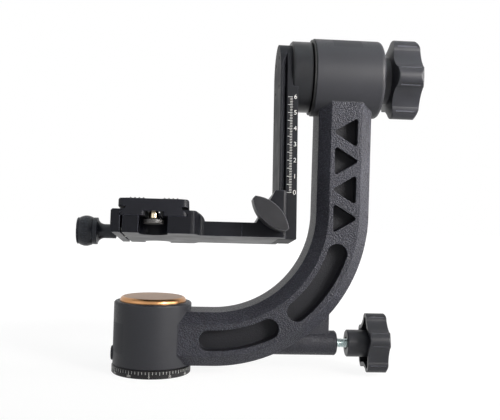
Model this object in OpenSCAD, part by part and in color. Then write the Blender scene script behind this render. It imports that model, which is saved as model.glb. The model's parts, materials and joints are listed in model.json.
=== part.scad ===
// Gimbal head for a camera with a long lens, in millimetres.
// Z is the pan axis, X is the tilt axis, and the user stands on the -Y side.
// The origin is the middle of the round base's bottom face.
// A piece of the hanging bracket is drawn upright below the tilt axis, in the
// bracket's own Y and Z, and in_swing() then leans it to its resting angle.

/* [Base] */
// Diameter of the round base plate with the degree scale
base_plate_d = 50; // [48:0.5:54]
// Thickness of the base plate
base_plate_t = 5.1; // [4.6:0.1:7]
// Gap between the base plate and the turning barrel
base_gap = 0.4; // [0.3:0.1:0.8]
// Diameter of the pan barrel
barrel_d = 49; // [47:0.5:53]
// Height of the barrel's top edge over the base's bottom face
barrel_top = 44.9; // [44:0.5:50]
// Diameter of the bronze cap
cap_d = 41.8; // [38:0.2:44]
// Height of the cap over the barrel
cap_t = 3; // [2.8:0.1:4]
// Major diameter of the tripod thread, three eighths of an inch
socket_d = 9.525; // [9.525, 6.35]
// Depth of the tripod thread
socket_depth = 13; // [10:0.5:14]

/* [Bearings] */
// Bore of a bearing, and the diameter of the shaft in it
bearing_bore = 20; // [18:0.5:21]
// Outer diameter of a bearing
bearing_od = 32; // [31:0.5:34]
// Width of a bearing
bearing_w = 7; // [6:0.5:7.5]
// Diameter of a bearing ball
ball_d = 3.5; // [2.5:0.1:4]
// Number of balls in a bearing
ball_count = 12; // [8:1:14]

/* [Arm] */
// Radius of the arm's centre line in the bend
bend_r = 79.8; // [76:0.2:86]
// Distance from the pan axis to the start of the bend
bend_x = 38.6; // [36:0.2:44]
// Height of the arm's centre line over the base's bottom face
arm_z = 23; // [22:0.5:25]
// Width of the arm, seen from the user's side
arm_w = 33.7; // [31:0.1:36]
// Thickness of the arm, towards the user
arm_t = 37; // [34:0.5:40]
// Width of the bevel along the arm's edges
bevel_w = 7.1; // [4:0.1:8]
// Depth of the bevel towards the user
bevel_t = 6.2; // [4:0.1:8]
// Height of the tilt axis over the base's bottom face
tilt_z = 191.6; // [188:0.5:200]
// Depth of the pockets in the arm's two faces
pocket_depth = 9; // [3:0.5:10]
// Width of the two curved pockets
slot_w = 12.9; // [8:0.1:14]
// Where the two curved pockets start and end, in degrees round the bend
slot_span = [[-2, 25.4], [40.4, 72.3]];
// Number of triangular pockets in the leg
tri_count = 4; // [1:1:5]
// Pitch of the triangular pockets
tri_pitch = 18.1; // [17:0.1:19]
// Height of the lowest triangle's middle
tri_z = 101; // [99:0.5:106]
// Size of a triangular pocket across the leg and up it
tri_size = [15.2, 17.6];
// Corner radius of a triangular pocket
tri_r = 1.4; // [0.8:0.1:2]

/* [Tilt barrel] */
// Diameter of the tilt barrel
tilt_barrel_d = 50; // [48:0.5:54]
// Where the tilt barrel starts and ends
tilt_barrel_x = [98, 141.6];
// Radius round the barrel's outer end
tilt_barrel_round = 2.6; // [1:0.2:4]
// Diameter of the bracket's hub
hub_d = 45.5; // [44:0.5:47]
// Where the hub sits in the rail's round recess
hub_x = 83.3; // [82:0.1:85]
// Thickness of the friction washer between the hub and the barrel
washer_t = 1.4; // [1:0.1:2]
// Turns of a lock knob from tight to loose
lock_turns = 1.25; // [0.5:0.25:1.5]
// Outer diameter of the tilt knob over its lobes
tilt_knob_d = 52.8; // [46:0.2:54]
// Where the lobes of the tilt knob start and end
tilt_lobe_x = [148.8, 165.8];

/* [Pan lock] */
// Height of the pan lock's axis
lock_z = 19.6; // [19.6:0.1:20]
// Outer diameter of the boss that carries the lock screw
boss_d = 15.8; // [13:0.2:17]
// Where the boss ends
boss_x = 118.6; // [117:0.1:121]
// Outer edge of the web over the boss
web_x = 113.2; // [110:0.2:114]
// Top of the web over the boss
web_z = 42; // [40:0.5:46]
// Thickness of the web over the boss
web_t = 9; // [6:0.5:12]
// Diameter of the lock screw
lock_screw_d = 5.9; // [4:0.1:6]
// Where the lock knob's hub starts
lock_hub_x = 125.5; // [123:0.1:127]
// Diameter of the lock knob's hub
lock_hub_d = 17.4; // [15:0.2:19]
// Outer diameter of the pan lock knob over its lobes
pan_knob_d = 39.4; // [36:0.2:42]
// Where the lobes of the pan lock knob start and end
pan_lobe_x = [137.6, 150.8];
// Number of lobes of a knob
lobe_count = 5; // [5:1:7]

/* [Rail] */
// Inner face of the rail, towards the lens
rail_x = 75.5; // [75.5:0.1:76]
// Thickness of the rail
rail_t = 11; // [10.5:0.1:11.5]
// Width of the rail
rail_w = 40; // [38:0.5:42]
// Length of the rail below the tilt axis
rail_drop = 107; // [104:0.5:112]
// Thickness of the lip that the foot holds
lip_t = 1.1; // [0.8:0.1:1.5]
// Depth of the dovetail groove in the rail's edge
groove_depth = 2.8; // [2:0.1:3.2]
// Angle at which the bracket rests, leaning towards the user
swing_rest = -7.2; // [-20:0.2:20]
// Height of the rail's scale, from 0 to 6 centimetres
scale_len = 60; // [40:10:60]
// Distance from the tilt axis down to the scale's 0
scale_zero = 78.6; // [78:0.2:80]

/* [Platform] */
// Middle of the clamp, across the tilt axis
clamp_x = 1; // [0:0.5:2]
// Length of the clamp, along the lens
clamp_len = 76; // [70:1:80]
// Width of the bar, along the lens
bar_w = 57; // [52:0.5:60]
// Thickness of the bar
bar_t = 8.5; // [8:0.1:9]
// Height of the clamp's floor over the bar's underside
floor_t = 10; // [9.5:0.1:11]
// Height of the clamp's jaws over the bar's underside
jaw_h = 13.6; // [13.4:0.1:14]
// Inner edge of the foot's top, and where its slanted web meets the bar
foot_x = [72.4, 61.1];
// Height of the slanted web over the bar's underside
web_h = 25; // [20:0.5:27]
// Where the foot's loose jaw starts
foot_jaw_x = 52.8; // [50:0.2:55]
// Thickness of the foot's loose jaw
foot_jaw_t = 9.2; // [8:0.1:10]
// Radius of the round notch in each end of the clamp
notch_r = 8.35; // [7:0.05:9]
// Depth of the notch up to the middle of its round end
notch_depth = 7; // [6:0.5:8]

/* [Clamp] */
// Thickness of the clamp's moving jaw
jaw_t = 5.4; // [5:0.1:6]
// Outer face of the moving jaw
jaw_x = -23.3; // [-24:0.1:-23]
// How far the moving jaw opens
jaw_travel = 4; // [3:0.5:4.5]
// Height of the clamp screw's axis over the bar's underside
clamp_screw_h = 3.5; // [3.4:0.1:4.8]
// Diameter of the clamp screw
clamp_screw_d = 5; // [4:0.1:5]
// Outer diameter of the clamp knob's grip
clamp_knob_d = 18.8; // [16:0.2:20]
// Number of grip grooves round the clamp knob
clamp_knob_ribs = 24; // [12:1:28]

/* [Plate] */
// Width of the camera plate
plate_w = 40.8; // [40:0.1:42]
// How far the camera plate stands out past each end of the clamp
plate_over = 0.5; // [0:0.1:2]
// Height of the camera plate
plate_h = 9.8; // [9.6:0.1:10.4]
// Width of the plate's dovetail at the bottom
dovetail_w = 39.6; // [38:0.1:39.6]
// Height of the plate's upper slab
slab_h = 4.5; // [4.2:0.1:4.8]
// Width and depth of the channel under the plate
channel = [10, 2.7];
// Major diameter of the camera screw, a quarter of an inch
camera_screw_d = 6.35; // [6.35, 9.525]
// How far the loose camera screw hangs down
screw_drop = 4.6; // [3:0.1:4.8]
// Distance from each end of the plate to the middle of its slot's round end
slot_margin = 6.5; // [6:0.1:7]

/* [Wing knob] */
// Middle of the wing knob along the bar
wing_x = 68.4; // [67:0.1:69]
// Height of the wing knob's screw over the bar's underside
wing_h = 12.7; // [12:0.1:13]
// Length and width of the wing, and its thickness
wing_size = [27, 11.6, 12];
// Angle at which the wing rests
wing_angle = -43; // [-90:1:90]
// Diameter of the wing knob's screw
wing_screw_d = 5; // [4:0.1:6]
// How far the foot's loose jaw opens
foot_jaw_travel = 1.6; // [1:0.1:2]

/* [Hidden] */
$fn = 64;

// Overrun of a cut past the face it opens.
cut = 1;
// Radial clearance of a turning or sliding fit, and of two pieces set together.
run_fit = 0.05;
set_fit = 0.02;
// Clearance of curved faces that pass each other.
free_gap = 0.3;
// Clearance of a loose hole round a screw.
hole_gap = 0.3;
// Clearance between a bearing ball and its tracks.
ball_gap = 0.1;
// Pitch of the pan lock's thread.
lock_pitch = 1;

// Base
barrel_r = barrel_d / 2;
barrel_z = base_plate_t + base_gap;
barrel_round = 1.4;
plate_edge = 0.5;
bushing_r = 7;
spindle_r = bearing_bore / 2;
flange_r = 15;
flange_t = 2.4;
race_t = 2;
step_t = 0.5;
low_bearing_z = base_plate_t + flange_t + step_t;
drum_z = low_bearing_z + bearing_w;
drum_h = 16;
drum_r = 12.5;
high_bearing_z = drum_z + drum_h;
nut_z = high_bearing_z + bearing_w;
spindle_washer_t = 1.2;
nut_thread_r = 8;
nut_t = 4;
nut_af = 24;
thread_over = 0.3;
spindle_top = nut_z + spindle_washer_t + nut_t + thread_over;
bearing_r = bearing_od / 2;
pitch_r = (bearing_bore + bearing_od) / 4;
ball_r = ball_d / 2;
lip_r = 14.5;
base_screw_count = 4;
base_screw_r = 1.5;
base_screw_circle = 11.5;
base_screw_head_r = 2.9;
base_screw_head_t = 1.5;
base_screw_short = 0.4;
base_screw_len = base_plate_t + flange_t - base_screw_short;

// Cap
cap_r = cap_d / 2;
cap_round = 2.6;
cap_spigot_r = bearing_r - free_gap;
cap_spigot_t = 1;

// Arm
arm_half = arm_w / 2;
arm_half_t = arm_t / 2;
leg_x = bend_x + bend_r;
bend_z = arm_z + bend_r;
tilt_barrel_r = tilt_barrel_d / 2;
plug_z = 11.4;
plug_r = 4.6;
plug_out = 1.1;
plug_in = 2.6;
tri_inset = 0.5;

// Pan lock
screw_r = lock_screw_d / 2;
boss_r = boss_d / 2;
boss_edge = 1;
rod_r = 3.2;
rod_end_x = 95;
shoe_r = 4.2;
shoe_x = drum_r + free_gap;
shoe_len = 7.6;
lock_travel = lock_turns * lock_pitch;
stop_gap = 0.2;
stud_end_x = 142;
hub_hole_r = 4.2;
hub_hole_depth = 1.2;
knob_wall = 2.4;
pan_face_round = 2.2;
tilt_face_round = 4;
pan_back_round = 0.8;
tilt_back_round = 2.3;
lobe_share = 0.27;
hollow_share = 0.77;
line_angles = [11.3, 13.1];
crease = 0.3;
line_r = 0.26;
line_run = 2.6;
pan_knob_turn = -107;
tilt_knob_turn = -90;
knob_web_t = 5;

// Tilt parts along X
tilt_in_x = tilt_barrel_x[0];
tilt_out_x = tilt_barrel_x[1];
hub_r = hub_d / 2;
hub_end_x = tilt_in_x - washer_t;
rail_out_x = rail_x + rail_t;
washer_step = 0.7;
washer_r = tilt_barrel_r - washer_step;
shaft_r = bearing_bore / 2;
bearing_inset = 3;
bearing_a_x = tilt_in_x + bearing_inset;
spacer_x = bearing_a_x + bearing_w;
spacer_len = 21;
bearing_b_x = spacer_x + spacer_len;
ring_x = bearing_b_x + bearing_w;
ring_t = 1.2;
ring_r = 12;
seat_gap = 3;
seat_x = ring_x + seat_gap;
shoulder_gap = 0.8;
shaft_step_x = ring_x + ring_t + shoulder_gap;
neck_r = 6;
thread_r = 5;
thread_x = tilt_out_x + shoulder_gap;
thread_len = 12.6;
thread_end_x = thread_x + thread_len;
pressure_r = 17.2;
pressure_out = 0.4;
pressure_x = [seat_x, tilt_out_x + pressure_out];
insert_r = 8;
insert_inset = 0.6;
insert_over = 1.6;
insert_x = [pressure_x[1] + insert_inset, thread_end_x + insert_over];
knob_neck_r = 15.2;
knob_neck_len = 5.2;

// Bracket, in its own Y and Z
rail_half = rail_w / 2;
rail_z = -rail_drop;
neck_half = rail_half - groove_depth;
lip_x = rail_x + lip_t;
neck_x = lip_x + groove_depth;
neck_land = 0.4;
rail_screw_count = 4;
rail_screw_circle = 13.5;
rail_screw_r = 2;
rail_screw_head_r = 3.8;
rail_screw_head_t = 2.2;
rail_screw_grip = 7;
rail_screw_len = rail_t + rail_screw_grip;
recess_r = hub_r + hole_gap;

// Platform
bar_half = bar_w / 2;
clamp_half = clamp_len / 2;
bar_top = rail_z + bar_t;
floor_z = rail_z + floor_t;
jaw_z = rail_z + jaw_h;
foot_top = -scale_zero;
web_step = 1.6;
slide_gap = 0.1;
foot_face_x = rail_x - slide_gap;
dovetail_gap = 0.15;
hook_x = neck_x - slide_gap;
hook_round = 2;
jaw_split = 0.4;
split_y = -bar_half + foot_jaw_t;
step_lead = 2;
step_run = 7.7;
// Outline of the step from the clamp to the narrower bar, in shares of its run and depth.
step_shares = [[0, 1], [0.18, 0.975], [0.31, 0.89], [0.4, 0.76], [0.6, 0.24], [0.69, 0.11], [0.82, 0.025], [1, 0]];
shoulder_r = 6.4;
jaw_top_w = 3.8;
plate_half = dovetail_w / 2;
plate_gap = 0.05;
jaw_inner_x = jaw_x + jaw_t;
body_gap = 1.3;
body_x = jaw_inner_x + body_gap;
fixed_jaw_x = clamp_x + plate_half + jaw_top_w;
pin_r = 1.5;
foot_pin_x = [57.5, 71.5];
foot_pin_z = rail_z + clamp_screw_h;
foot_pin_in = 2.4;
foot_pin_wall = 2;
foot_pin_len = 15.2;
clamp_pin_y = 24;
clamp_pin_len = 14;
pin_recess = 0.6;

// Clamp knob
clamp_screw_r = clamp_screw_d / 2;
clamp_screw_z = rail_z + clamp_screw_h;
clamp_knob_r = clamp_knob_d / 2;
clamp_neck_r = 4.4;
clamp_collar_r = 8.3;
collar_x = [-34.6, -37];
grip_x = [-37.5, -45.5];
grip_end_x = -47;
cone_r = 4.4;
cone_run = sqrt(cone_r * cone_r - pow(clamp_neck_r + cone_r - clamp_collar_r, 2));
rib_r = 0.55;
rib_bury = 0.25;
clip_t = 0.8;
clip_r = 3.3;
clamp_screw_x = [-46, -4];

// Camera plate
plate_z = floor_z + plate_gap;
plate_top = plate_z + plate_h;
slab_half = plate_w / 2;
slab_round = 1.4;
undercut_z = plate_top - slab_h;
land_h = 0.6;
neck_h = 0.9;
flank_top = undercut_z - neck_h;
plate_corner = 3.6;
plate_len = clamp_len + 2 * plate_over;
channel_edge = 1.4;
channel_top = plate_z + channel[1];
camera_r = camera_screw_d / 2;
slot_gap = 0.25;
slot_end = plate_len / 2 - slot_margin;
clip_groove_r = 5;
clip_groove_t = 1.8;
screw_inset = 0.5;
screw_y = screw_inset - slot_end;
screw_neck_r = 2.8;
screw_collar_r = 6;
screw_collar_t = 2.2;
screw_flare_r = 3.35;
screw_flare_t = 0.8;
screw_seat = 1.3;
coin_slot_w = 1.6;
coin_slot_t = 0.9;
thread_lead = 0.4;
screw_head_z = channel_top - screw_drop - screw_collar_t;
screw_tip_short = 0.1;
screw_tip_z = plate_top - screw_tip_short;
pad_t = 0.6;
pad_rib_r = 0.45;
pad_rib_pitch = 2.5;
pad_edge = 4;
pad_half = slab_half - pad_edge;
pad_len = plate_len - 2 * pad_edge;
pad_slot_half = 5.6;

// Wing knob
wing_r = wing_screw_d / 2;
wing_z = rail_z + wing_h;
wing_hub_r = 5.4;
wing_hub_t = 3;
wing_back_y = -bar_half - run_fit - wing_hub_t;
wing_edge = 1.2;
wing_screw_in = 7;
wing_screw_end = -4;
wing_screw_y = [wing_back_y - wing_screw_in, wing_screw_end];

module in_swing() { translate([0, 0, tilt_z]) rotate([swing_rest, 0, 0]) children(); }

module along_x(x, z = 0) { translate([x, 0, z]) rotate([0, 90, 0]) children(); }

module along_y(x, y, z) { translate([x, y, z]) rotate([-90, 0, 0]) children(); }

module ring(inner, outer, height) {
  difference() {
    cylinder(r = outer, h = height);
    translate([0, 0, -cut]) cylinder(r = inner, h = height + 2 * cut);
  }
}

// Profile of a disc with a rounded upper edge.
module round_profile(radius, height, edge) {
  square([radius - edge, height]);
  square([radius, height - edge]);
  translate([radius - edge, height - edge]) circle(r = edge, $fn = 48);
}

module round_disc(radius, height, edge) {
  rotate_extrude() intersection() {
    round_profile(radius, height, edge);
    square(radius + height);
  }
}

module chamfer_disc(radius, height, edge) {
  rotate_extrude() polygon([[0, 0], [radius - edge, 0], [radius, edge], [radius, height - edge],
    [radius - edge, height], [0, height]]);
}

// A countersunk screw with its head's face at the origin and its shank up Z.
module flat_screw(shank, length, head, head_height) {
  rotate_extrude() polygon([[0, 0], [head, 0], [shank, head_height], [shank, length], [0, length]]);
}

module polar(count, radius, turn = 0) {
  for (i = [0 : count - 1]) rotate([0, 0, turn + 360 * i / count]) translate([radius, 0, 0]) children();
}

module bearing_inner() {
  rotate_extrude() difference() {
    translate([bearing_bore / 2 + set_fit, 0]) square([race_t, bearing_w]);
    translate([pitch_r, bearing_w / 2]) circle(r = ball_r + ball_gap, $fn = 48);
  }
}

module bearing_outer() {
  rotate_extrude() difference() {
    translate([bearing_r - race_t - set_fit, 0]) square([race_t, bearing_w]);
    translate([pitch_r, bearing_w / 2]) circle(r = ball_r + ball_gap, $fn = 48);
  }
}

module bearing_balls() {
  translate([0, 0, bearing_w / 2]) polar(ball_count, pitch_r) sphere(r = ball_r, $fn = 32);
}

// Base

module base_plate() {
  color("dimgray") difference() {
    chamfer_disc(base_plate_d / 2, base_plate_t, plate_edge);
    translate([0, 0, -cut]) cylinder(r = bushing_r + set_fit, h = base_plate_t + 2 * cut);
    polar(base_screw_count, base_screw_circle) base_screw_cut();
  }
}

module base_screw_cut() {
  translate([0, 0, -set_fit])
    flat_screw(base_screw_r + set_fit, base_screw_len + hole_gap, base_screw_head_r + set_fit, base_screw_head_t);
}

module base_screws() {
  color("silver") polar(base_screw_count, base_screw_circle)
    flat_screw(base_screw_r, base_screw_len, base_screw_head_r, base_screw_head_t);
}

module tripod_bushing() {
  color("silver") ring(socket_d / 2, bushing_r, socket_depth);
}

module pan_spindle() {
  color("gray") difference() {
    translate([0, 0, base_plate_t]) rotate_extrude() polygon([[0, 0], [flange_r, 0], [flange_r, flange_t],
      [spindle_r + race_t, flange_t], [spindle_r + race_t, flange_t + step_t],
      [spindle_r, flange_t + step_t], [spindle_r, nut_z - base_plate_t],
      [nut_thread_r, nut_z - base_plate_t], [nut_thread_r, spindle_top - base_plate_t],
      [0, spindle_top - base_plate_t]]);
    translate([0, 0, base_plate_t - cut])
      cylinder(r = bushing_r + set_fit, h = socket_depth + set_fit - base_plate_t + cut);
    polar(base_screw_count, base_screw_circle) base_screw_cut();
  }
}

module brake_drum() {
  color("silver") translate([0, 0, drum_z]) ring(spindle_r + set_fit, drum_r, drum_h);
}

module spindle_washer() {
  color("silver") translate([0, 0, nut_z]) ring(nut_thread_r + set_fit, spindle_r + race_t, spindle_washer_t);
}

module spindle_nut() {
  color("silver") translate([0, 0, nut_z + spindle_washer_t]) difference() {
    cylinder(d = nut_af / cos(30), h = nut_t, $fn = 6);
    translate([0, 0, -cut]) cylinder(r = nut_thread_r + set_fit, h = nut_t + 2 * cut);
  }
}

module pan_bearing_inners() {
  color("silver") for (z = [low_bearing_z, high_bearing_z]) translate([0, 0, z]) bearing_inner();
}

module pan_bearing_balls() {
  color("gainsboro") for (z = [low_bearing_z, high_bearing_z]) translate([0, 0, z]) bearing_balls();
}

module pan_bearing_outers() {
  color("silver") for (z = [low_bearing_z, high_bearing_z]) translate([0, 0, z]) bearing_outer();
}

// Arm

// Section of the arm: an oblong with bevelled edges, centred.
module arm_section() {
  flat_w = arm_half - bevel_w;
  flat_t = arm_half_t - bevel_t;
  polygon([[flat_w, -arm_half_t], [arm_half, -flat_t], [arm_half, flat_t], [flat_w, arm_half_t],
    [-flat_w, arm_half_t], [-arm_half, flat_t], [-arm_half, -flat_t], [-flat_w, -arm_half_t]]);
}

// Turns a solid that is revolved about Z so that it bends from the base up to the leg.
module in_bend() { translate([bend_x, 0, bend_z]) rotate([90, 0, 0]) rotate([0, 0, -90]) children(); }

module arm_beam() {
  along_x(0, arm_z) linear_extrude(bend_x) arm_section();
  in_bend() rotate_extrude(angle = 90, $fn = 128) translate([bend_r, 0]) arm_section();
  translate([leg_x, 0, bend_z]) linear_extrude(tilt_z - bend_z) arm_section();
}

// A curved pocket in the near face from one angle of the bend to another, with round ends.
module curved_pocket(span) {
  in_bend() translate([0, 0, arm_half_t - pocket_depth]) {
    rotate([0, 0, span[0]]) rotate_extrude(angle = span[1] - span[0], $fn = 128)
      translate([bend_r - slot_w / 2, 0]) square([slot_w, pocket_depth + cut]);
    for (a = span) rotate([0, 0, a]) translate([bend_r, 0, 0]) cylinder(r = slot_w / 2, h = pocket_depth + cut);
  }
}

// A triangle with rounded corners that points towards +X, centred.
module soft_triangle(size, corner) {
  tip = [size[0] / 2 - 1.6 * corner, 0];
  high = [-size[0] / 2 + corner, size[1] / 2 - 1.3 * corner];
  low = [high[0], -high[1]];
  slant = atan2(high[1], tip[0] - high[0]);
  out = corner * [sin(slant), cos(slant)];
  polygon([tip + out, high + out, high - [corner, 0], low - [corner, 0], low + [out[0], -out[1]],
    tip + [out[0], -out[1]]]);
  for (p = [tip, high, low]) translate(p) circle(r = corner, $fn = 32);
}

module triangle_pockets() {
  for (i = [0 : tri_count - 1]) translate([leg_x + (i % 2 == 0 ? tri_inset : -tri_inset), 0, tri_z + i * tri_pitch])
    rotate([90, 0, 0]) translate([0, 0, arm_half_t - pocket_depth]) linear_extrude(pocket_depth + cut)
      rotate([0, 0, i % 2 == 0 ? 0 : 180]) soft_triangle(tri_size, tri_r);
}

module face_pockets() {
  for (span = slot_span) curved_pocket(span);
  triangle_pockets();
}

module arm_pockets() {
  face_pockets();
  mirror([0, 1, 0]) face_pockets();
}

module arm_housing() {
  color([0.13, 0.13, 0.14]) difference() {
    union() {
      difference() {
        arm_beam();
        arm_pockets();
      }
      translate([0, 0, barrel_z]) round_disc(barrel_r, barrel_top - barrel_z, barrel_round);
      along_x(tilt_in_x, tilt_z) round_disc(tilt_barrel_r, tilt_out_x - tilt_in_x, tilt_barrel_round);
      along_x(bend_x, lock_z) chamfer_disc(boss_r, boss_x - bend_x, boss_edge);
      lock_web();
      translate([-barrel_r - plug_out, 0, plug_z]) rotate([0, 90, 0]) chamfer_disc(plug_r, plug_r, plug_out / 2);
    }
    pan_bores();
    lock_bores();
    tilt_bores();
    translate([-barrel_r - plug_out - cut, 0, plug_z]) rotate([0, 90, 0])
      cylinder(r = plug_r - plug_in + set_fit, h = plug_out + cut + barrel_r - bearing_r + set_fit);
  }
}

module lock_web() {
  translate([leg_x - arm_half - bevel_w, -web_t / 2, lock_z])
    cube([web_x - leg_x + arm_half + bevel_w, web_t, web_z - lock_z]);
}

module pan_bores() {
  translate([0, 0, barrel_z - cut]) cylinder(r = lip_r, h = barrel_top - barrel_z + 2 * cut);
  translate([0, 0, barrel_z - cut]) cylinder(r = bearing_r, h = drum_z - barrel_z + cut);
  translate([0, 0, high_bearing_z]) cylinder(r = bearing_r, h = barrel_top - high_bearing_z + cut);
}

module lock_bores() {
  along_x(0, lock_z) cylinder(r = shoe_r + run_fit, h = barrel_r);
  along_x(0, lock_z) cylinder(r = rod_r + run_fit, h = rod_end_x);
  along_x(0, lock_z) cylinder(r = screw_r + run_fit, h = boss_x + cut);
}

module tilt_bores() {
  along_x(tilt_in_x - cut, tilt_z) cylinder(r = lip_r, h = seat_x - tilt_in_x + 2 * cut);
  along_x(tilt_in_x - cut, tilt_z) cylinder(r = bearing_r, h = bearing_a_x + bearing_w - tilt_in_x + cut);
  along_x(bearing_b_x, tilt_z) cylinder(r = bearing_r, h = seat_x - bearing_b_x + cut);
  along_x(seat_x, tilt_z) cylinder(r = pressure_r + run_fit, h = tilt_out_x - seat_x + cut);
}

module top_cap() {
  color([0.55, 0.42, 0.27]) {
    translate([0, 0, barrel_top]) round_disc(cap_r, cap_t, cap_round);
    translate([0, 0, barrel_top - cap_spigot_t]) cylinder(r = cap_spigot_r, h = cap_spigot_t);
  }
}

module side_plug() {
  color("silver") translate([-barrel_r - plug_out, 0, plug_z]) rotate([0, 90, 0])
    cylinder(r = plug_r - plug_in, h = plug_out + barrel_r - bearing_r - set_fit);
}

// Pan lock

module pan_brake_shoe() {
  color("goldenrod") difference() {
    along_x(0, lock_z) cylinder(r = shoe_r, h = shoe_x + shoe_len);
    cylinder(r = shoe_x, h = arm_z + arm_w);
  }
}

module pan_push_rod() {
  color("silver") along_x(shoe_x + shoe_len, lock_z) cylinder(r = rod_r, h = rod_end_x - shoe_x - shoe_len - lock_travel - stop_gap);
}

module pan_stud() {
  color("silver") along_x(rod_end_x - lock_travel - stop_gap, lock_z)
    cylinder(r = screw_r, h = stud_end_x - rod_end_x + lock_travel + stop_gap);
}

// Outline of a knob with round lobes, one of them towards +X, and hollows between them.
module star(radius, lobes, inset) {
  half = 180 / lobes;
  lobe_r = radius * lobe_share;
  lobe_at = radius - lobe_r;
  hollow = radius * hollow_share;
  hollow_at = (lobe_at * lobe_at - (lobe_r - hollow) * (lobe_r - hollow))
    / (2 * (lobe_at * cos(half) + lobe_r - hollow));
  difference() {
    polygon([for (i = [0 : 2 * lobes - 1]) (i % 2 == 0 ? lobe_at : hollow_at) * [cos(i * half), sin(i * half)]]);
    for (i = [0 : lobes - 1]) rotate([0, 0, (2 * i + 1) * half]) translate([hollow_at, 0])
      circle(r = hollow_at - hollow + inset + crease, $fn = 96);
  }
  for (i = [0 : lobes - 1]) rotate([0, 0, 2 * i * half]) translate([lobe_at, 0])
    circle(r = lobe_r - inset, $fn = 48);
}

// Fine grip lines along a knob, two beside each flank of every lobe.
module grip_lines(radius, lobes, length) {
  lobe_r = radius * lobe_share;
  lobe_at = radius - lobe_r;
  for (i = [0 : lobes - 1]) for (side = [-1, 1]) for (a = line_angles) {
    reach = lobe_at * cos(a) + sqrt(lobe_r * lobe_r - lobe_at * lobe_at * sin(a) * sin(a));
    rotate([0, 0, 360 * i / lobes + side * a]) translate([reach, 0, 0]) cylinder(r = line_r, h = length, $fn = 16);
  }
}

// Half section of a lobed knob: a neck, a back that flares a little, and a rounded back and face.
module knob_profile(radius, neck, neck_len, back, back_edge, length, face_edge) {
  polygon([[0, 0], [neck, 0], [neck, neck_len], [radius - back_edge, back], [radius, back + back_edge],
    [radius, length - face_edge], [radius - face_edge, length], [0, length]]);
  translate([radius - back_edge, back + back_edge]) circle(r = back_edge, $fn = 48);
  translate([radius - face_edge, length - face_edge]) circle(r = face_edge, $fn = 48);
}

// Body of a lobed knob along X: its section turned, and cut to the outline of its lobes.
module knob_body(radius, neck, neck_len, back, back_edge, length, face_edge, turn) {
  intersection() {
    rotate([0, 0, turn]) difference() {
      linear_extrude(length) star(radius, lobe_count, 0);
      translate([0, 0, back + line_run]) grip_lines(radius, lobe_count, length - back - 2 * line_run);
    }
    rotate_extrude() knob_profile(radius + crease, neck, neck_len, back, back_edge, length, face_edge);
  }
}

module pan_knob() {
  color([0.12, 0.12, 0.13]) along_x(0, lock_z) difference() {
    union() {
      translate([0, 0, pan_lobe_x[0]]) difference() {
        knob_body(pan_knob_d / 2, pan_knob_d / 2 - pan_back_round, 0, 0, pan_back_round,
          pan_lobe_x[1] - pan_lobe_x[0], pan_face_round, pan_knob_turn);
        translate([0, 0, -cut]) rotate([0, 0, pan_knob_turn])
          linear_extrude(pan_lobe_x[1] - pan_lobe_x[0] - knob_web_t + cut)
            star(pan_knob_d / 2, lobe_count, knob_wall);
      }
      translate([0, 0, lock_hub_x]) chamfer_disc(lock_hub_d / 2, pan_lobe_x[1] - lock_hub_x - knob_wall, boss_edge / 2);
    }
    translate([0, 0, lock_hub_x - cut]) cylinder(r = hub_hole_r, h = hub_hole_depth + cut);
    translate([0, 0, lock_hub_x - cut]) cylinder(r = screw_r + set_fit, h = stud_end_x - lock_hub_x + cut + set_fit);
  }
}

// Tilt parts

module tilt_hub() {
  color([0.16, 0.16, 0.17]) in_swing() difference() {
    along_x(hub_x) chamfer_disc(hub_r, hub_end_x - hub_x, boss_edge);
    along_x(hub_x - cut) cylinder(r = shaft_r + set_fit, h = hub_end_x - hub_x + 2 * cut);
    rail_screw_holes();
  }
}

module tilt_shaft() {
  color("silver") in_swing() along_x(hub_x) rotate_extrude() polygon([[0, 0], [shaft_r, 0],
    [shaft_r, shaft_step_x - hub_x], [neck_r, shaft_step_x - hub_x],
    [neck_r, thread_x - hub_x], [thread_r, thread_x - hub_x],
    [thread_r, thread_end_x - hub_x], [0, thread_end_x - hub_x]]);
}

module tilt_spacer() {
  color("silver") in_swing() along_x(spacer_x) ring(shaft_r + set_fit, shaft_r + race_t, spacer_len);
}

module shaft_ring() {
  color("gray") in_swing() along_x(ring_x) ring(shaft_r + set_fit, ring_r, ring_t);
}

module tilt_bearing_inners() {
  color("silver") in_swing() for (x = [bearing_a_x, bearing_b_x]) along_x(x) bearing_inner();
}

module tilt_bearing_balls() {
  color("gainsboro") in_swing() for (x = [bearing_a_x, bearing_b_x]) along_x(x) bearing_balls();
}

module tilt_bearing_outers() {
  color("silver") for (x = [bearing_a_x, bearing_b_x]) along_x(x, tilt_z) bearing_outer();
}

module friction_washer() {
  color([0.1, 0.1, 0.1]) along_x(hub_end_x + set_fit, tilt_z) ring(shaft_r + race_t, washer_r, washer_t - set_fit);
}

module pressure_ring() {
  color("gray") along_x(pressure_x[0], tilt_z) ring(neck_r + run_fit, pressure_r, pressure_x[1] - pressure_x[0]);
}

module tilt_knob() {
  color([0.12, 0.12, 0.13]) along_x(pressure_x[1], tilt_z) difference() {
    knob_body(tilt_knob_d / 2, knob_neck_r, knob_neck_len, tilt_lobe_x[0] - pressure_x[1], tilt_back_round,
      tilt_lobe_x[1] - pressure_x[1], tilt_face_round, tilt_knob_turn);
    translate([0, 0, -cut]) cylinder(r = neck_r + free_gap, h = cut + insert_x[0] - pressure_x[1]);
    translate([0, 0, insert_x[0] - pressure_x[1]]) cylinder(r = insert_r + set_fit, h = insert_x[1] - insert_x[0]);
  }
}

module tilt_knob_insert() {
  color("goldenrod") along_x(insert_x[0], tilt_z) ring(thread_r + run_fit, insert_r, insert_x[1] - insert_x[0]);
}

// Rail

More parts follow.
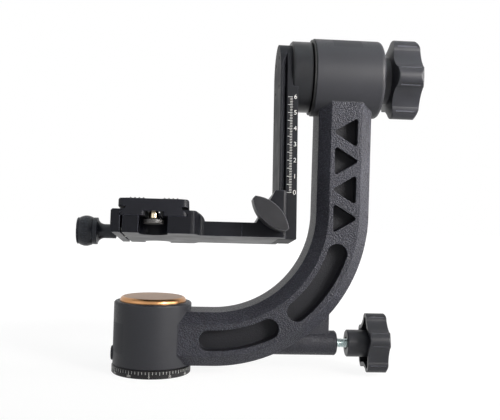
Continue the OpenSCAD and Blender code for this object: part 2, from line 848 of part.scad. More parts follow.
// Section of the rail across its length, in X and the bracket's Y.
module rail_section() {
  half = [[rail_x, rail_half], [lip_x, rail_half], [neck_x, neck_half], [neck_x + neck_land, neck_half],
    [neck_x + neck_land, rail_half], [rail_out_x, rail_half]];
  polygon(concat(half, [for (i = [len(half) - 1 : -1 : 0]) [half[i][0], -half[i][1]]]));
}

module rail_screw_holes() {
  along_x(rail_x - set_fit) polar(rail_screw_count, rail_screw_circle, 45)
    flat_screw(rail_screw_r + set_fit, rail_screw_len + hole_gap, rail_screw_head_r + set_fit, rail_screw_head_t);
}

module rail() {
  color([0.2, 0.2, 0.21]) in_swing() difference() {
    intersection() {
      translate([0, 0, rail_z]) linear_extrude(rail_drop + rail_half) rail_section();
      union() {
        translate([rail_x, -rail_half, rail_z]) cube([rail_t, rail_w, rail_drop]);
        along_x(rail_x) cylinder(r = rail_half, h = rail_t, $fn = 96);
      }
    }
    rail_screw_holes();
    along_x(hub_x) cylinder(r = recess_r, h = rail_out_x - hub_x + cut);
  }
}

module rail_screws() {
  color("silver") in_swing() along_x(rail_x) polar(rail_screw_count, rail_screw_circle, 45)
    flat_screw(rail_screw_r, rail_screw_len, rail_screw_head_r, rail_screw_head_t);
}

// Platform

// The bracket's platform seen from the user's side, in X and height.
module platform_front() {
  translate([body_x, rail_z]) square([foot_face_x - body_x, bar_t]);
  translate([body_x, rail_z]) square([fixed_jaw_x - body_x, floor_t]);
  translate([clamp_x, rail_z]) square([fixed_jaw_x - clamp_x, jaw_h]);
  intersection() {
    translate([fixed_jaw_x, jaw_z - shoulder_r]) circle(r = shoulder_r, $fn = 96);
    translate([fixed_jaw_x, rail_z]) square([shoulder_r, jaw_h]);
  }
  polygon([[foot_x[1], bar_top], [foot_face_x, bar_top], [foot_face_x, foot_top], [foot_x[0], foot_top],
    [foot_x[0] - web_step, rail_z + web_h]]);
}

module platform_plan() {
  translate([body_x, -bar_half]) square([foot_face_x - body_x, bar_w]);
  translate([body_x, -clamp_half]) square([fixed_jaw_x - step_lead - body_x, clamp_len]);
  for (side = [0, 1]) mirror([0, side]) translate([fixed_jaw_x - step_lead, 0])
    polygon(concat([for (p = step_shares) [step_run * p[0], bar_half + (clamp_half - bar_half) * p[1]]], [[0, 0]]));
}

// The hook that holds one edge of the rail, in X and the bracket's Y, on the far side.
module hook_plan() {
  flank = dovetail_gap * sqrt(2);
  difference() {
    polygon([[foot_face_x - cut, bar_half], [hook_x, bar_half], [hook_x, neck_half + flank + neck_x - hook_x],
      [lip_x, rail_half + flank], [foot_face_x, rail_half + flank], [foot_face_x - cut, rail_half + flank]]);
    translate([hook_x - hook_round, bar_half - hook_round]) difference() {
      square([hook_round + cut, hook_round + cut]);
      circle(r = hook_round, $fn = 48);
    }
  }
}

module channel_cut() {
  top = jaw_z + cut;
  half = plate_half + plate_gap;
  flank_low = plate_z + land_h;
  translate([0, clamp_len, 0]) rotate([90, 0, 0]) linear_extrude(2 * clamp_len) polygon([
    [body_x - cut, floor_z], [clamp_x + half, floor_z], [clamp_x + half, flank_low],
    [clamp_x + half - (top - flank_low), top], [body_x - cut, top]]);
}

module end_notch(side) {
  translate([clamp_x, side * (clamp_half - notch_depth), rail_z - cut]) {
    cylinder(r = notch_r, h = floor_t + 2 * cut);
    translate([-notch_r, side < 0 ? -clamp_half : 0, 0]) cube([2 * notch_r, clamp_half, floor_t + 2 * cut]);
  }
}

module platform() {
  color([0.15, 0.15, 0.16]) in_swing() difference() {
    union() {
      intersection() {
        translate([0, clamp_half, 0]) rotate([90, 0, 0]) linear_extrude(clamp_len) platform_front();
        translate([0, 0, rail_z]) linear_extrude(rail_drop) platform_plan();
      }
      translate([0, 0, rail_z]) linear_extrude(foot_top - rail_z) hook_plan();
    }
    translate([foot_jaw_x, -clamp_len, rail_z - cut])
      cube([rail_out_x, clamp_len + split_y + jaw_split, rail_drop]);
    channel_cut();
    end_notch(-1);
    end_notch(1);
    along_y(wing_x, split_y, wing_z) cylinder(r = wing_r + run_fit, h = wing_screw_y[1] - split_y + 2 * cut);
    for (x = foot_pin_x) along_y(x, split_y, foot_pin_z)
      cylinder(r = pin_r + set_fit, h = foot_pin_in + foot_pin_len - foot_jaw_t + set_fit);
    along_x(body_x - cut, clamp_screw_z) cylinder(r = clamp_screw_r + run_fit, h = clamp_screw_x[1] - body_x + 3 * cut);
    for (y = [-clamp_pin_y, clamp_pin_y]) translate([0, y, 0]) along_x(body_x - cut, clamp_screw_z)
      cylinder(r = pin_r + set_fit, h = jaw_x + pin_recess + clamp_pin_len - body_x + cut + set_fit);
  }
}

module clamp_guide_pins() {
  color("silver") in_swing() for (y = [-clamp_pin_y, clamp_pin_y]) translate([0, y, 0])
    along_x(jaw_x + pin_recess, clamp_screw_z) cylinder(r = pin_r, h = clamp_pin_len);
}

module foot_guide_pins() {
  color("silver") in_swing() for (x = foot_pin_x)
    along_y(x, -bar_half + foot_pin_in, foot_pin_z) cylinder(r = pin_r, h = foot_pin_len);
}

module foot_jaw() {
  color([0.15, 0.15, 0.16]) in_swing() difference() {
    union() {
      translate([0, split_y, 0]) rotate([90, 0, 0]) linear_extrude(foot_jaw_t) intersection() {
        platform_front();
        translate([foot_jaw_x + set_fit, rail_z]) square([rail_out_x, rail_drop]);
      }
      translate([0, 0, rail_z]) linear_extrude(foot_top - rail_z) mirror([0, 1]) hook_plan();
    }
    along_y(wing_x, -bar_half - cut, wing_z) cylinder(r = wing_r + hole_gap, h = foot_jaw_t + 2 * cut);
    for (x = foot_pin_x) along_y(x, -bar_half + foot_pin_wall, foot_pin_z)
      cylinder(r = pin_r + run_fit, h = foot_jaw_t - foot_pin_wall + cut);
  }
}

// Outline of the wing: a lens with cut ends, centred.
module wing_outline(inset) {
  long_half = wing_size[0] / 2 + wing_edge;
  short_half = wing_size[1] / 2;
  arc_r = (long_half * long_half + short_half * short_half) / (2 * short_half);
  intersection() {
    translate([0, short_half - arc_r]) circle(r = arc_r - inset, $fn = 96);
    translate([0, arc_r - short_half]) circle(r = arc_r - inset, $fn = 96);
    square([wing_size[0] - 2 * inset, wing_size[1]], center = true);
  }
}

module wing_knob() {
  color([0.24, 0.24, 0.25]) in_swing() translate([wing_x, wing_back_y, wing_z]) rotate([90, 0, 0]) difference() {
    union() {
      rotate([0, 0, wing_angle]) linear_extrude(wing_size[2]) wing_outline(0);
      translate([0, 0, -wing_hub_t]) cylinder(r = wing_hub_r, h = wing_hub_t + cut);
    }
    translate([0, 0, -wing_hub_t - cut]) cylinder(r = wing_r + set_fit, h = wing_back_y - wing_screw_y[0] + wing_hub_t + cut);
  }
}

module wing_screw() {
  color("silver") in_swing() along_y(wing_x, wing_screw_y[0], wing_z)
    cylinder(r = wing_r, h = wing_screw_y[1] - wing_screw_y[0]);
}

// Clamp

module clamp_jaw() {
  half = plate_half + plate_gap;
  edge = boss_edge;
  inner_x = clamp_x - half;
  flank_low = plate_z + land_h;
  color([0.15, 0.15, 0.16]) in_swing() difference() {
    translate([0, clamp_half, 0]) rotate([90, 0, 0]) linear_extrude(clamp_len) polygon([
      [jaw_x, jaw_z - edge], [jaw_x + edge, jaw_z], [inner_x + jaw_z - flank_low, jaw_z], [inner_x, flank_low],
      [inner_x, floor_z], [jaw_inner_x, floor_z], [jaw_inner_x, rail_z], [jaw_x + edge, rail_z], [jaw_x, rail_z + edge]]);
    along_x(jaw_x - cut, clamp_screw_z) cylinder(r = clamp_screw_r + hole_gap, h = jaw_t + 2 * cut);
    for (y = [-clamp_pin_y, clamp_pin_y]) translate([0, y, 0]) along_x(jaw_x - cut, clamp_screw_z)
      cylinder(r = pin_r + run_fit, h = jaw_t + 2 * cut);
  }
}

// Half section of the clamp knob, in distance along X and radius.
module clamp_knob_profile() {
  neck_x0 = jaw_x - run_fit;
  difference() {
    union() {
      polygon([[neck_x0, 0], [neck_x0, clamp_neck_r], [collar_x[0] + cone_run, clamp_neck_r],
        [collar_x[0], clamp_collar_r], [collar_x[1], clamp_collar_r], [collar_x[1], clamp_collar_r - rib_r], [grip_x[0], clamp_collar_r - rib_r],
        [grip_x[0], clamp_collar_r], [grip_x[1], clamp_collar_r], [grip_x[1], clamp_collar_r - rib_r],
        [grip_end_x + rib_r, clamp_collar_r], [grip_end_x, clamp_collar_r - rib_r], [grip_end_x, 0]]);
      grip_bulge();
    }
    translate([collar_x[0] + cone_run, clamp_neck_r + cone_r]) circle(r = cone_r, $fn = 48);
  }
}

// The grip's crowned part: a shallow arc over its length.
module grip_bulge() {
  half = (grip_x[0] - grip_x[1]) / 2;
  rise = clamp_knob_r - clamp_collar_r;
  arc_r = (half * half + rise * rise) / (2 * rise);
  intersection() {
    translate([(grip_x[0] + grip_x[1]) / 2, clamp_knob_r - arc_r]) circle(r = arc_r, $fn = 96);
    translate([grip_x[1], 0]) square([2 * half, clamp_knob_r]);
  }
}

module clamp_knob() {
  color([0.14, 0.14, 0.15]) in_swing() translate([0, 0, clamp_screw_z]) rotate([0, 90, 0]) difference() {
    rotate_extrude($fn = 96) rotate([0, 0, 90]) mirror([0, 1]) clamp_knob_profile();
    translate([0, 0, clamp_screw_x[0] - set_fit]) cylinder(r = clamp_screw_r + set_fit, h = jaw_x - clamp_screw_x[0] + cut);
    polar(clamp_knob_ribs, clamp_knob_r + rib_r - rib_bury) translate([0, 0, grip_x[1]])
      cylinder(r = rib_r, h = grip_x[0] - grip_x[1], $fn = 16);
  }
}

module clamp_screw() {
  color("silver") in_swing() along_x(clamp_screw_x[0], clamp_screw_z)
    cylinder(r = clamp_screw_r, h = clamp_screw_x[1] - clamp_screw_x[0]);
}

module clamp_clip() {
  color("gray") in_swing() along_x(jaw_inner_x + run_fit, clamp_screw_z) ring(clamp_screw_r + set_fit, clip_r, clip_t);
}

// Camera plate

module plate_section() {
  half_neck = plate_half - (flank_top - plate_z - land_h);
  polygon([[-slab_half, undercut_z], [-half_neck, undercut_z], [-half_neck, flank_top],
    [-plate_half, plate_z + land_h], [-plate_half, plate_z], [plate_half, plate_z],
    [plate_half, plate_z + land_h], [half_neck, flank_top], [half_neck, undercut_z], [slab_half, undercut_z],
    [slab_half, plate_top - slab_round], [-slab_half, plate_top - slab_round]]);
  translate([-slab_half + slab_round, undercut_z]) square([plate_w - 2 * slab_round, slab_h]);
  for (side = [-1, 1]) translate([side * (slab_half - slab_round), plate_top - slab_round])
    circle(r = slab_round, $fn = 48);
}

module plate_plan() {
  x = slab_half - plate_corner;
  y = plate_len / 2 - plate_corner;
  square([2 * slab_half, 2 * y], center = true);
  square([2 * x, plate_len], center = true);
  for (p = [[x, y], [-x, y], [x, -y], [-x, -y]]) translate(p) circle(r = plate_corner);
}

// Plan of the channel under the plate, wider at its two mouths.
module channel_plan() {
  x = channel[0] / 2;
  y = plate_len / 2 - channel_edge;
  wide = x + channel_edge + cut;
  out = y + channel_edge + cut;
  polygon([[-x, -y], [-wide, -out], [wide, -out], [x, -y], [x, y], [wide, out], [-wide, out], [-x, y]]);
}

module slot_cut(radius, z, height) {
  for (y = [-slot_end, slot_end]) translate([0, y, z]) cylinder(r = radius, h = height);
  translate([-radius, -slot_end, z]) cube([2 * radius, 2 * slot_end, height]);
}

module camera_plate() {
  color([0.14, 0.14, 0.15]) in_swing() translate([clamp_x, 0, 0]) difference() {
    intersection() {
      translate([0, plate_len / 2, 0]) rotate([90, 0, 0]) linear_extrude(plate_len) plate_section();
      translate([0, 0, plate_z - cut]) linear_extrude(plate_h + 2 * cut) plate_plan();
    }
    translate([0, 0, plate_z - cut]) linear_extrude(channel[1] + cut) channel_plan();
    slot_cut(camera_r + slot_gap, plate_z, plate_h + cut);
    slot_cut(clip_groove_r, plate_top - clip_groove_t, clip_groove_t + cut);
  }
}

module plate_pad() {
  color([0.1, 0.1, 0.1]) in_swing() translate([clamp_x, 0, plate_top]) for (side = [0, 1]) mirror([side, 0, 0]) {
    translate([pad_slot_half, -pad_len / 2, 0]) cube([pad_half - pad_slot_half, pad_len, pad_t]);
    for (x = [pad_slot_half + pad_rib_r : pad_rib_pitch : pad_half - pad_rib_r])
      along_y(x, -pad_len / 2, pad_t) cylinder(r = pad_rib_r, h = pad_len, $fn = 16);
  }
}

module screw_clip() {
  color("gray") in_swing() translate([clamp_x, screw_y, plate_top - clip_groove_t])
    ring(camera_r + run_fit, clip_groove_r - slot_gap, clip_groove_t - pad_t);
}

// The camera screw's flat head, with a slot for a coin underneath.
module screw_collar() {
  color([0.1, 0.1, 0.1]) in_swing() translate([clamp_x, screw_y, screw_head_z]) difference() {
    cylinder(r = screw_collar_r, h = screw_collar_t);
    translate([0, 0, screw_seat - set_fit]) cylinder(r = screw_neck_r + set_fit, h = screw_collar_t);
    translate([-screw_collar_r - cut, -coin_slot_w / 2, -cut])
      cube([2 * (screw_collar_r + cut), coin_slot_w, coin_slot_t + cut]);
  }
}

module camera_screw() {
  neck_top = screw_collar_t + screw_drop + thread_lead;
  tip = screw_tip_z - screw_head_z;
  flare = screw_collar_t + set_fit;
  color([0.8, 0.68, 0.45]) in_swing() translate([clamp_x, screw_y, screw_head_z]) rotate_extrude()
    polygon([[0, screw_seat], [screw_neck_r, screw_seat], [screw_neck_r, flare], [screw_flare_r, flare],
      [screw_neck_r, flare + screw_flare_t], [screw_neck_r, neck_top], [camera_r, neck_top], [camera_r, tip], [0, tip]]);
}

base_plate();
base_screws();
tripod_bushing();
pan_spindle();
brake_drum();
spindle_washer();
spindle_nut();
pan_bearing_inners();
pan_bearing_balls();
arm_housing();
top_cap();
side_plug();
pan_bearing_outers();
tilt_bearing_outers();
friction_washer();
pan_brake_shoe();
pan_push_rod();
pan_knob();
pan_stud();
tilt_hub();
tilt_shaft();
tilt_spacer();
shaft_ring();
rail();
rail_screws();
tilt_bearing_inners();
tilt_bearing_balls();
pressure_ring();
tilt_knob();
tilt_knob_insert();
platform();
clamp_guide_pins();
foot_guide_pins();
foot_jaw();
wing_knob();
wing_screw();
clamp_jaw();
clamp_knob();
clamp_screw();
clamp_clip();
camera_plate();
plate_pad();
screw_clip();
screw_collar();
camera_screw();
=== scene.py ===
"""Looks of the gimbal head: paint, anodising, threads, screw sockets, printed scales, stage and camera."""

import json
import math

import bmesh
import bpy
from mathutils import Matrix, Vector


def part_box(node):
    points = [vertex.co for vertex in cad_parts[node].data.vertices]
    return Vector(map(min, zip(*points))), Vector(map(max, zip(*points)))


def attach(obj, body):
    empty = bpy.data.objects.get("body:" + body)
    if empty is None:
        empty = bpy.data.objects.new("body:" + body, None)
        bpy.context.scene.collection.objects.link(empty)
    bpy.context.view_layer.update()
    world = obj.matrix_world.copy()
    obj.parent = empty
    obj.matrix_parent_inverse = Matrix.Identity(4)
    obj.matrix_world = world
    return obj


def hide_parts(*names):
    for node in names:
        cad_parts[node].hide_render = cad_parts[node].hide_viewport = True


bl_info = {
    "name": "Gimbal head looks",
    "version": (1, 0, 0),
    "blender": (4, 5, 0),
    "location": "View3D > Sidebar > Gimbal head",
    "description": "Dresses the packed gimbal head with finishes, threads and printed scales",
    "category": "Object",
}

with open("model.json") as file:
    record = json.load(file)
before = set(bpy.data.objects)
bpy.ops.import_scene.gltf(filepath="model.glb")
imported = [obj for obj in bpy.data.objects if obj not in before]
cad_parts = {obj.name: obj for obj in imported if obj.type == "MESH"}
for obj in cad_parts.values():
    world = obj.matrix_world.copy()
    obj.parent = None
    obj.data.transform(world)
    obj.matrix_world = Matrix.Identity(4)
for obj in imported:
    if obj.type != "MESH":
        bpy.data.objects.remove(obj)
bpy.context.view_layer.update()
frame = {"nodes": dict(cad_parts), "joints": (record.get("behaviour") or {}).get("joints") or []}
NODES = frame["nodes"]
JOINTS = {joint["name"]: joint for joint in frame["joints"]}
MM = 0.001

# The tilt axis and the pan lock's axis run along X at these heights.
TILT_Z = JOINTS["tilt"]["pos_m"][2]
LOCK_Z = JOINTS["pan_knob_turn"]["pos_m"][2]

# The hanging bracket rests at an angle: these are its own height and depth, and its axes as a matrix.
BRACKET_UP = Vector(JOINTS["platform_slide"]["axis"]).normalized()
BRACKET_FAR = BRACKET_UP.cross(Vector((1, 0, 0))).normalized()
BRACKET_TURN = Matrix((Vector((1, 0, 0)), BRACKET_FAR, BRACKET_UP)).transposed().to_4x4()
TOWARDS_X = Matrix.Rotation(math.radians(90), 4, "Y")

# The arm's centre line: straight at this height, then bent round this radius.
BEND_X, BEND_R, ARM_Z = 38.6 * MM, 79.8 * MM, 23.0 * MM
# Just outside the skin of its two barrels, and just before the upper one starts.
PAN_BARREL_R, TILT_BARREL_R, TILT_BARREL_X = 24.85 * MM, 25.3 * MM, 97.0 * MM
# Just outside the pan lock's boss and the web over it, which joins it to the leg.
BOSS_R, BOSS_X = 8.2 * MM, 45.0 * MM
WEB_HALF, WEB_X, WEB_TOP = 4.6 * MM, 70.0 * MM, 42.0 * MM
# Half the width of the pockets' band along the arm, and how deep they start: just under the arm's two faces.
POCKET_HALF, POCKET_FACE = 9.3 * MM, 17.7 * MM
# Where the cap's flat top ends and its bright edge starts.
CAP_FLAT_R, CAP_EDGE_R = 18.4 * MM, 18.9 * MM

# The knobs' lobes, the turn of each knob's first one, and where along X its grip lies.
LOBES = 5
TILT_GRIP = {"Axis height": TILT_Z, "Turn": math.radians(-90), "Start": 151.0 * MM, "End": 163.6 * MM}
PAN_GRIP = {"Axis height": LOCK_Z, "Turn": math.radians(-107), "Start": 139.4 * MM, "End": 149.2 * MM}
# The painted shade in a grip groove and the painted highlight on the edge beside it, in degrees from the middle of
# their lobe.
GRIP_LINES = {"Dark": 11.4, "Light": 13.2}

# Threads, as radii and pitches: the tripod's is three eighths of an inch with 16 turns to the inch, the camera's a
# quarter of an inch with 20 turns to the inch, and the lock screw's 1 mm a turn.
TRIPOD_MAJOR, TRIPOD_MINOR, TRIPOD_PITCH = 4.7625 * MM, 4.0 * MM, 1.5875 * MM
CAMERA_CORE, CAMERA_PITCH = 2.6 * MM, 1.27 * MM
LOCK_PITCH, LOCK_THREAD_DEPTH = MM, 0.55 * MM

# The rail's scale, in millimetres from the tilt axis: its ticks' ends, its numerals' middle, its depth and its 0.
TICKS_X, NUMERALS_X, SCALE_FAR, SCALE_ZERO = 83.1, 84.95, -20.0, -78.6
INK_DEPTH = 0.03 * MM
# A figure's height as a share of its font's size, and how much thinner it is printed, as a share of its height.
FIGURE_SHARE, FIGURE_THINNING = 0.72, 0.008
# The base's numerals: their height, and how far up their middle sits.
DIAL_NUMERAL, DIAL_NUMERAL_UP = 1.35 * MM, 1.25 * MM

# The photograph's frame, in pixels.
WIDTH, HEIGHT = 500, 420


def bracket_frame(x, far, up):
    """A place in the bracket, in millimetres from the tilt axis, with the bracket's own axes."""
    spot = Vector((x * MM, 0, TILT_Z)) + BRACKET_FAR * (far * MM) + BRACKET_UP * (up * MM)
    return Matrix.Translation(spot) @ BRACKET_TURN


# Sizes and colours


class HeadFinish(bpy.types.PropertyGroup):
    paint: bpy.props.FloatVectorProperty(
        name="Arm paint", description="Colour of the pebbled paint on the arm",
        default=(0.0235, 0.024, 0.0325), subtype="COLOR",
    )
    barrel: bpy.props.FloatVectorProperty(
        name="Barrel paint", description="Colour of the smooth barrels at both ends of the arm",
        default=(0.026, 0.0265, 0.0315), subtype="COLOR",
    )
    anodised: bpy.props.FloatVectorProperty(
        name="Anodised black", description="Colour of the camera plate",
        default=(0.011, 0.0115, 0.0155), subtype="COLOR",
    )
    plastic: bpy.props.FloatVectorProperty(
        name="Knob plastic", description="Colour of the moulded knobs",
        default=(0.022, 0.0225, 0.028), subtype="COLOR",
    )
    bronze: bpy.props.FloatVectorProperty(
        name="Cap bronze", description="Colour of the cap's flat top", default=(0.33, 0.2, 0.12), subtype="COLOR"
    )
    gold: bpy.props.FloatVectorProperty(
        name="Cap edge", description="Colour of the cap's bright rounded edge",
        default=(0.5, 0.26, 0.115), subtype="COLOR",
    )
    pebble: bpy.props.FloatProperty(
        name="Pebble size", description="Size of the grains in the arm's paint",
        default=0.0009, min=0.0003, max=0.003, unit="LENGTH",
    )


class ScaleSizes(bpy.types.PropertyGroup):
    tick: bpy.props.FloatProperty(
        name="Tick width", description="Width of a printed line",
        default=0.00022, min=0.0001, max=0.001, unit="LENGTH",
    )
    numeral: bpy.props.FloatProperty(
        name="Numeral height", description="Height of the rail's numerals",
        default=0.0029, min=0.001, max=0.005, unit="LENGTH",
    )
    degree: bpy.props.IntProperty(
        name="Degrees per tick", description="Step of the base's scale", default=5, min=1, max=30
    )


# Meshes


def mesh_piece(name, mesh, body, material, smooth=True):
    """Puts a finished mesh in the scene, on a body and with its material."""
    piece = bpy.data.objects.new(name, mesh)
    bpy.context.scene.collection.objects.link(piece)
    mesh.materials.clear()
    mesh.materials.append(material)
    for face in mesh.polygons:
        face.use_smooth = smooth
    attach(piece, body)
    return piece


def sharpen(mesh):
    """Marks the sharp edges of a smooth mesh."""
    mesh.set_sharp_from_angle(angle=math.radians(32))


def kept(shape, name):
    """Keeps a bmesh as a mesh."""
    mesh = bpy.data.meshes.new(name)
    shape.to_mesh(mesh)
    shape.free()
    return mesh


def solid(shape, name):
    """Keeps a closed bmesh as a mesh, with its faces outwards and its sharp edges marked."""
    bmesh.ops.recalc_face_normals(shape, faces=shape.faces)
    mesh = kept(shape, name)
    sharpen(mesh)
    return mesh


def ring(shape, steps, radius, height):
    """New corners round Z. The radius is a number, or a function of a corner's number."""
    corners = []
    for i in range(steps):
        angle = 2 * math.pi * i / steps
        reach = radius(i) if callable(radius) else radius
        corners.append(shape.verts.new((reach * math.cos(angle), reach * math.sin(angle), height)))
    return corners


def walls(shape, rings, steps):
    """Joins each ring to the next. A ring of one corner closes the shape, and equal rings stay unjoined."""
    for low, high in zip(rings, rings[1:]):
        for i in range(steps):
            j = (i + 1) % steps
            corners = [low[i % len(low)], low[j % len(low)], high[j % len(high)], high[i % len(high)]]
            corners = [c for k, c in enumerate(corners) if c not in corners[:k]]
            if len(corners) > 2 and (corners[0].co - corners[-1].co).length > 1e-7:
                shape.faces.new(corners)


def turned(profile, name, steps=64):
    """A closed mesh turned about Z from (radius, height) points that start and end on the axis."""
    shape = bmesh.new()
    rings = [
        ring(shape, steps, radius, height) if radius else [shape.verts.new((0, 0, height))]
        for radius, height in profile
    ]
    walls(shape, rings, steps)
    return solid(shape, name)


def socket_head(shank, length, head, head_height, across, depth, name="socket_head", taper=True):
    """A screw along Z with its head's face at 0, a hexagonal socket in it and its shank up Z."""
    steps, edge = 48, 0.12 * MM
    shape = bmesh.new()

    def hexagon(i):
        angle = 2 * math.pi * i / steps
        return across / 2 / math.cos((angle + math.pi / 6) % (math.pi / 3) - math.pi / 6)

    outline = (
        (hexagon, depth), (hexagon, edge), (max(head - edge, across * 0.6), 0), (head, edge),
        (shank if taper else head, head_height), (shank, head_height), (shank, length - 3 * edge),
        (shank - 3 * edge, length),
    )
    rings = [ring(shape, steps, radius, height) for radius, height in outline]
    bottom = shape.verts.new((0, 0, depth + across * 0.18))
    tip = shape.verts.new((0, 0, length))
    walls(shape, rings, steps)
    for i in range(steps):
        j = (i + 1) % steps
        shape.faces.new([bottom, rings[0][j], rings[0][i]])
        shape.faces.new([tip, rings[-1][i], rings[-1][j]])
    bmesh.ops.remove_doubles(shape, verts=shape.verts, dist=1e-6)
    return solid(shape, name)


def baked(name, tree, inputs, body, material, place=None, smooth=True):
    """Runs a geometry tree once and keeps its result as a plain mesh on a body."""
    holder = bpy.data.objects.new(name, bpy.data.meshes.new(name))
    bpy.context.scene.collection.objects.link(holder)
    modifier = holder.modifiers.new("Build", "NODES")
    modifier.node_group = tree
    sockets = {s.name: s.identifier for s in tree.interface.items_tree if s.in_out == "INPUT"}
    for label, value in {**inputs, "Material": material}.items():
        modifier[sockets[label]] = value
    bpy.context.view_layer.update()
    evaluated = holder.evaluated_get(bpy.context.evaluated_depsgraph_get())
    mesh = bpy.data.meshes.new_from_object(evaluated)
    holder.modifiers.clear()
    bpy.data.objects.remove(holder)
    if place is not None:
        mesh.transform(place)
    mesh.name = name
    if smooth:
        sharpen(mesh)
    return mesh_piece(name, mesh, body, material, smooth)


# Node trees


class Nodes:
    """Shorthand for filling a node tree: adds nodes, feeds their sockets and does sums."""

    def __init__(self, tree):
        self.nodes, self.links = tree.nodes, tree.links

    def feed(self, socket, value):
        """Joins a socket to another one, or sets its value."""
        if isinstance(value, bpy.types.NodeSocket):
            self.links.new(value, socket)
        else:
            socket.default_value = value

    def add(self, kind, settings=None, **sockets):
        """A new node with its sockets fed, each by its name or, as i0, i1 and so on, by its number."""
        node = self.nodes.new(kind)
        for key, value in (settings or {}).items():
            setattr(node, key, value)
        names = [s.name for s in node.inputs]
        for key, value in sockets.items():
            index = int(key[1:]) if key[0] == "i" and key[1:].isdigit() else names.index(key.replace("_", " "))
            self.feed(node.inputs[index], value)
        return node

    def maths(self, operation, *values):
        sockets = {"i%d" % index: value for index, value in enumerate(values)}
        return self.add("ShaderNodeMath", {"operation": operation}, **sockets).outputs[0]

    def plus(self, a, b):
        return self.maths("ADD", a, b)

    def minus(self, a, b):
        return self.maths("SUBTRACT", a, b)

    def times(self, a, b):
        return self.maths("MULTIPLY", a, b)

    def share(self, a, b):
        return self.maths("DIVIDE", a, b)

    def most(self, a, b):
        return self.maths("MAXIMUM", a, b)

    def least(self, a, b):
        return self.maths("MINIMUM", a, b)

    def under(self, a, b):
        return self.maths("LESS_THAN", a, b)

    def over(self, a, b):
        return self.maths("GREATER_THAN", a, b)

    def unsigned(self, a):
        return self.maths("ABSOLUTE", a)

    def radius(self, a, b):
        """How far a point is from an axis, from its two coordinates across it."""
        return self.maths("SQRT", self.plus(self.times(a, a), self.times(b, b)))

    def ramp(self, value, start, end, low=0.0, high=1.0):
        """Carries start to end onto low to high, and holds the value there."""
        return self.add("ShaderNodeMapRange", i0=value, i1=start, i2=end, i3=low, i4=high).outputs[0]

    def between(self, mask, low, high):
        """Carries a mask from 0 to 1 onto a range of values."""
        return self.ramp(mask, 0.0, 1.0, low, high)

    def vector(self, x=0.0, y=0.0, z=0.0):
        return self.add("ShaderNodeCombineXYZ", i0=x, i1=y, i2=z).outputs[0]

    def parts(self, vector):
        return self.add("ShaderNodeSeparateXYZ", i0=vector).outputs

    def place(self):
        """The shaded point in its piece's own coordinates."""
        return self.add("ShaderNodeTexCoord").outputs["Object"]

    def seen_rays(self):
        """1 for rays that show a surface itself: straight to the camera, in a reflection or through glass."""
        path = self.add("ShaderNodeLightPath").outputs
        return self.most(self.most(path["Is Camera Ray"], path["Is Glossy Ray"]), path["Is Transmission Ray"])


class Tree(Nodes):
    """A shader group or a geometry tree, with named inputs and results."""

    def __init__(self, name, numbers=None, results=(), kind="ShaderNodeTree"):
        self.tree = bpy.data.node_groups.new(name, kind)
        super().__init__(self.tree)
        self.inside = self.nodes.new("NodeGroupInput")
        self.outside = self.nodes.new("NodeGroupOutput")
        for label, value in (numbers or {}).items():
            self.give(label, "Float", value)
        for label in results:
            self.give(label, "Float", direction="OUTPUT")

    def give(self, label, kind, value=None, direction="INPUT"):
        socket = self.tree.interface.new_socket(label, in_out=direction, socket_type="NodeSocket" + kind)
        if value is not None:
            socket.default_value = value

    def take(self, label):
        return self.inside.outputs[label]

    def put(self, **results):
        """Gives out the results, each under its name, and the finished tree."""
        for label, socket in results.items():
            self.links.new(socket, self.outside.inputs[label])
        return self.tree


# Shader groups


def soft_edge_group():
    """Rounds edges for the light and says where a surface turns a corner."""
    t = Tree("Soft edge", {"Radius": 0.0003})
    t.give("Normal", "Vector", direction="OUTPUT")
    t.give("Corner", "Float", direction="OUTPUT")
    bevel = t.add("ShaderNodeBevel", {"samples": 4}, Radius=t.take("Radius")).outputs[0]
    facing = t.add("ShaderNodeNewGeometry").outputs["Normal"]
    dot = t.add("ShaderNodeVectorMath", {"operation": "DOT_PRODUCT"}, i0=bevel, i1=facing).outputs["Value"]
    # The rounded normal leaves the face's own one only near an edge, and 5 brings that up to a full mask.
    return t.put(Normal=bevel, Corner=t.least(t.times(t.minus(1.0, dot), 5.0), 1.0))


def pebble_group():
    """Grains of a textured paint: their height, how deep a point lies between them and how near it is to a top."""
    t = Tree("Pebbled paint", {"Size": 0.0011}, ("Height", "Gap", "Top"))
    place = t.place()
    scale = t.share(1.0, t.take("Size"))
    # Noise shifts the cells by up to 0.6 mm, so that no two grains are alike. A cell's centre is a grain's top.
    drift = t.add("ShaderNodeTexNoise", Vector=place, Scale=300.0, Detail=2.0).outputs["Color"]
    offset = t.add("ShaderNodeVectorMath", {"operation": "SCALE"}, i0=drift, Scale=0.0006).outputs[0]
    moved = t.add("ShaderNodeVectorMath", {"operation": "ADD"}, i0=place, i1=offset).outputs[0]
    cells = t.add("ShaderNodeTexVoronoi", {"feature": "SMOOTH_F1"}, Vector=moved, Scale=scale, Smoothness=0.6)
    distance = cells.outputs["Distance"]
    fine = t.add("ShaderNodeTexNoise", Vector=place, Scale=t.times(scale, 2.3), Detail=3.0).outputs["Fac"]
    height = t.plus(t.times(distance, -1.0), t.times(fine, 0.45))
    # The height given out is about 0 halfway up a grain, where it meets the smooth areas without a step.
    return t.put(
        Height=t.plus(height, 0.12), Gap=t.times(t.minus(distance, 0.35), 1.8), Top=t.ramp(height, -0.2, 0.12)
    )


def grain_group():
    """Fine machining or moulding lines, stretched along one axis."""
    t = Tree("Fine grain", {"Scale": 4000.0}, ("Height",))
    t.give("Stretch", "Vector", (1.0, 1.0, 1.0))
    stretched = t.add("ShaderNodeVectorMath", {"operation": "MULTIPLY"}, i0=t.place(), i1=t.take("Stretch"))
    noise = t.add("ShaderNodeTexNoise", Vector=stretched.outputs[0], Scale=t.take("Scale"), Detail=2.0)
    return t.put(Height=noise.outputs["Fac"])


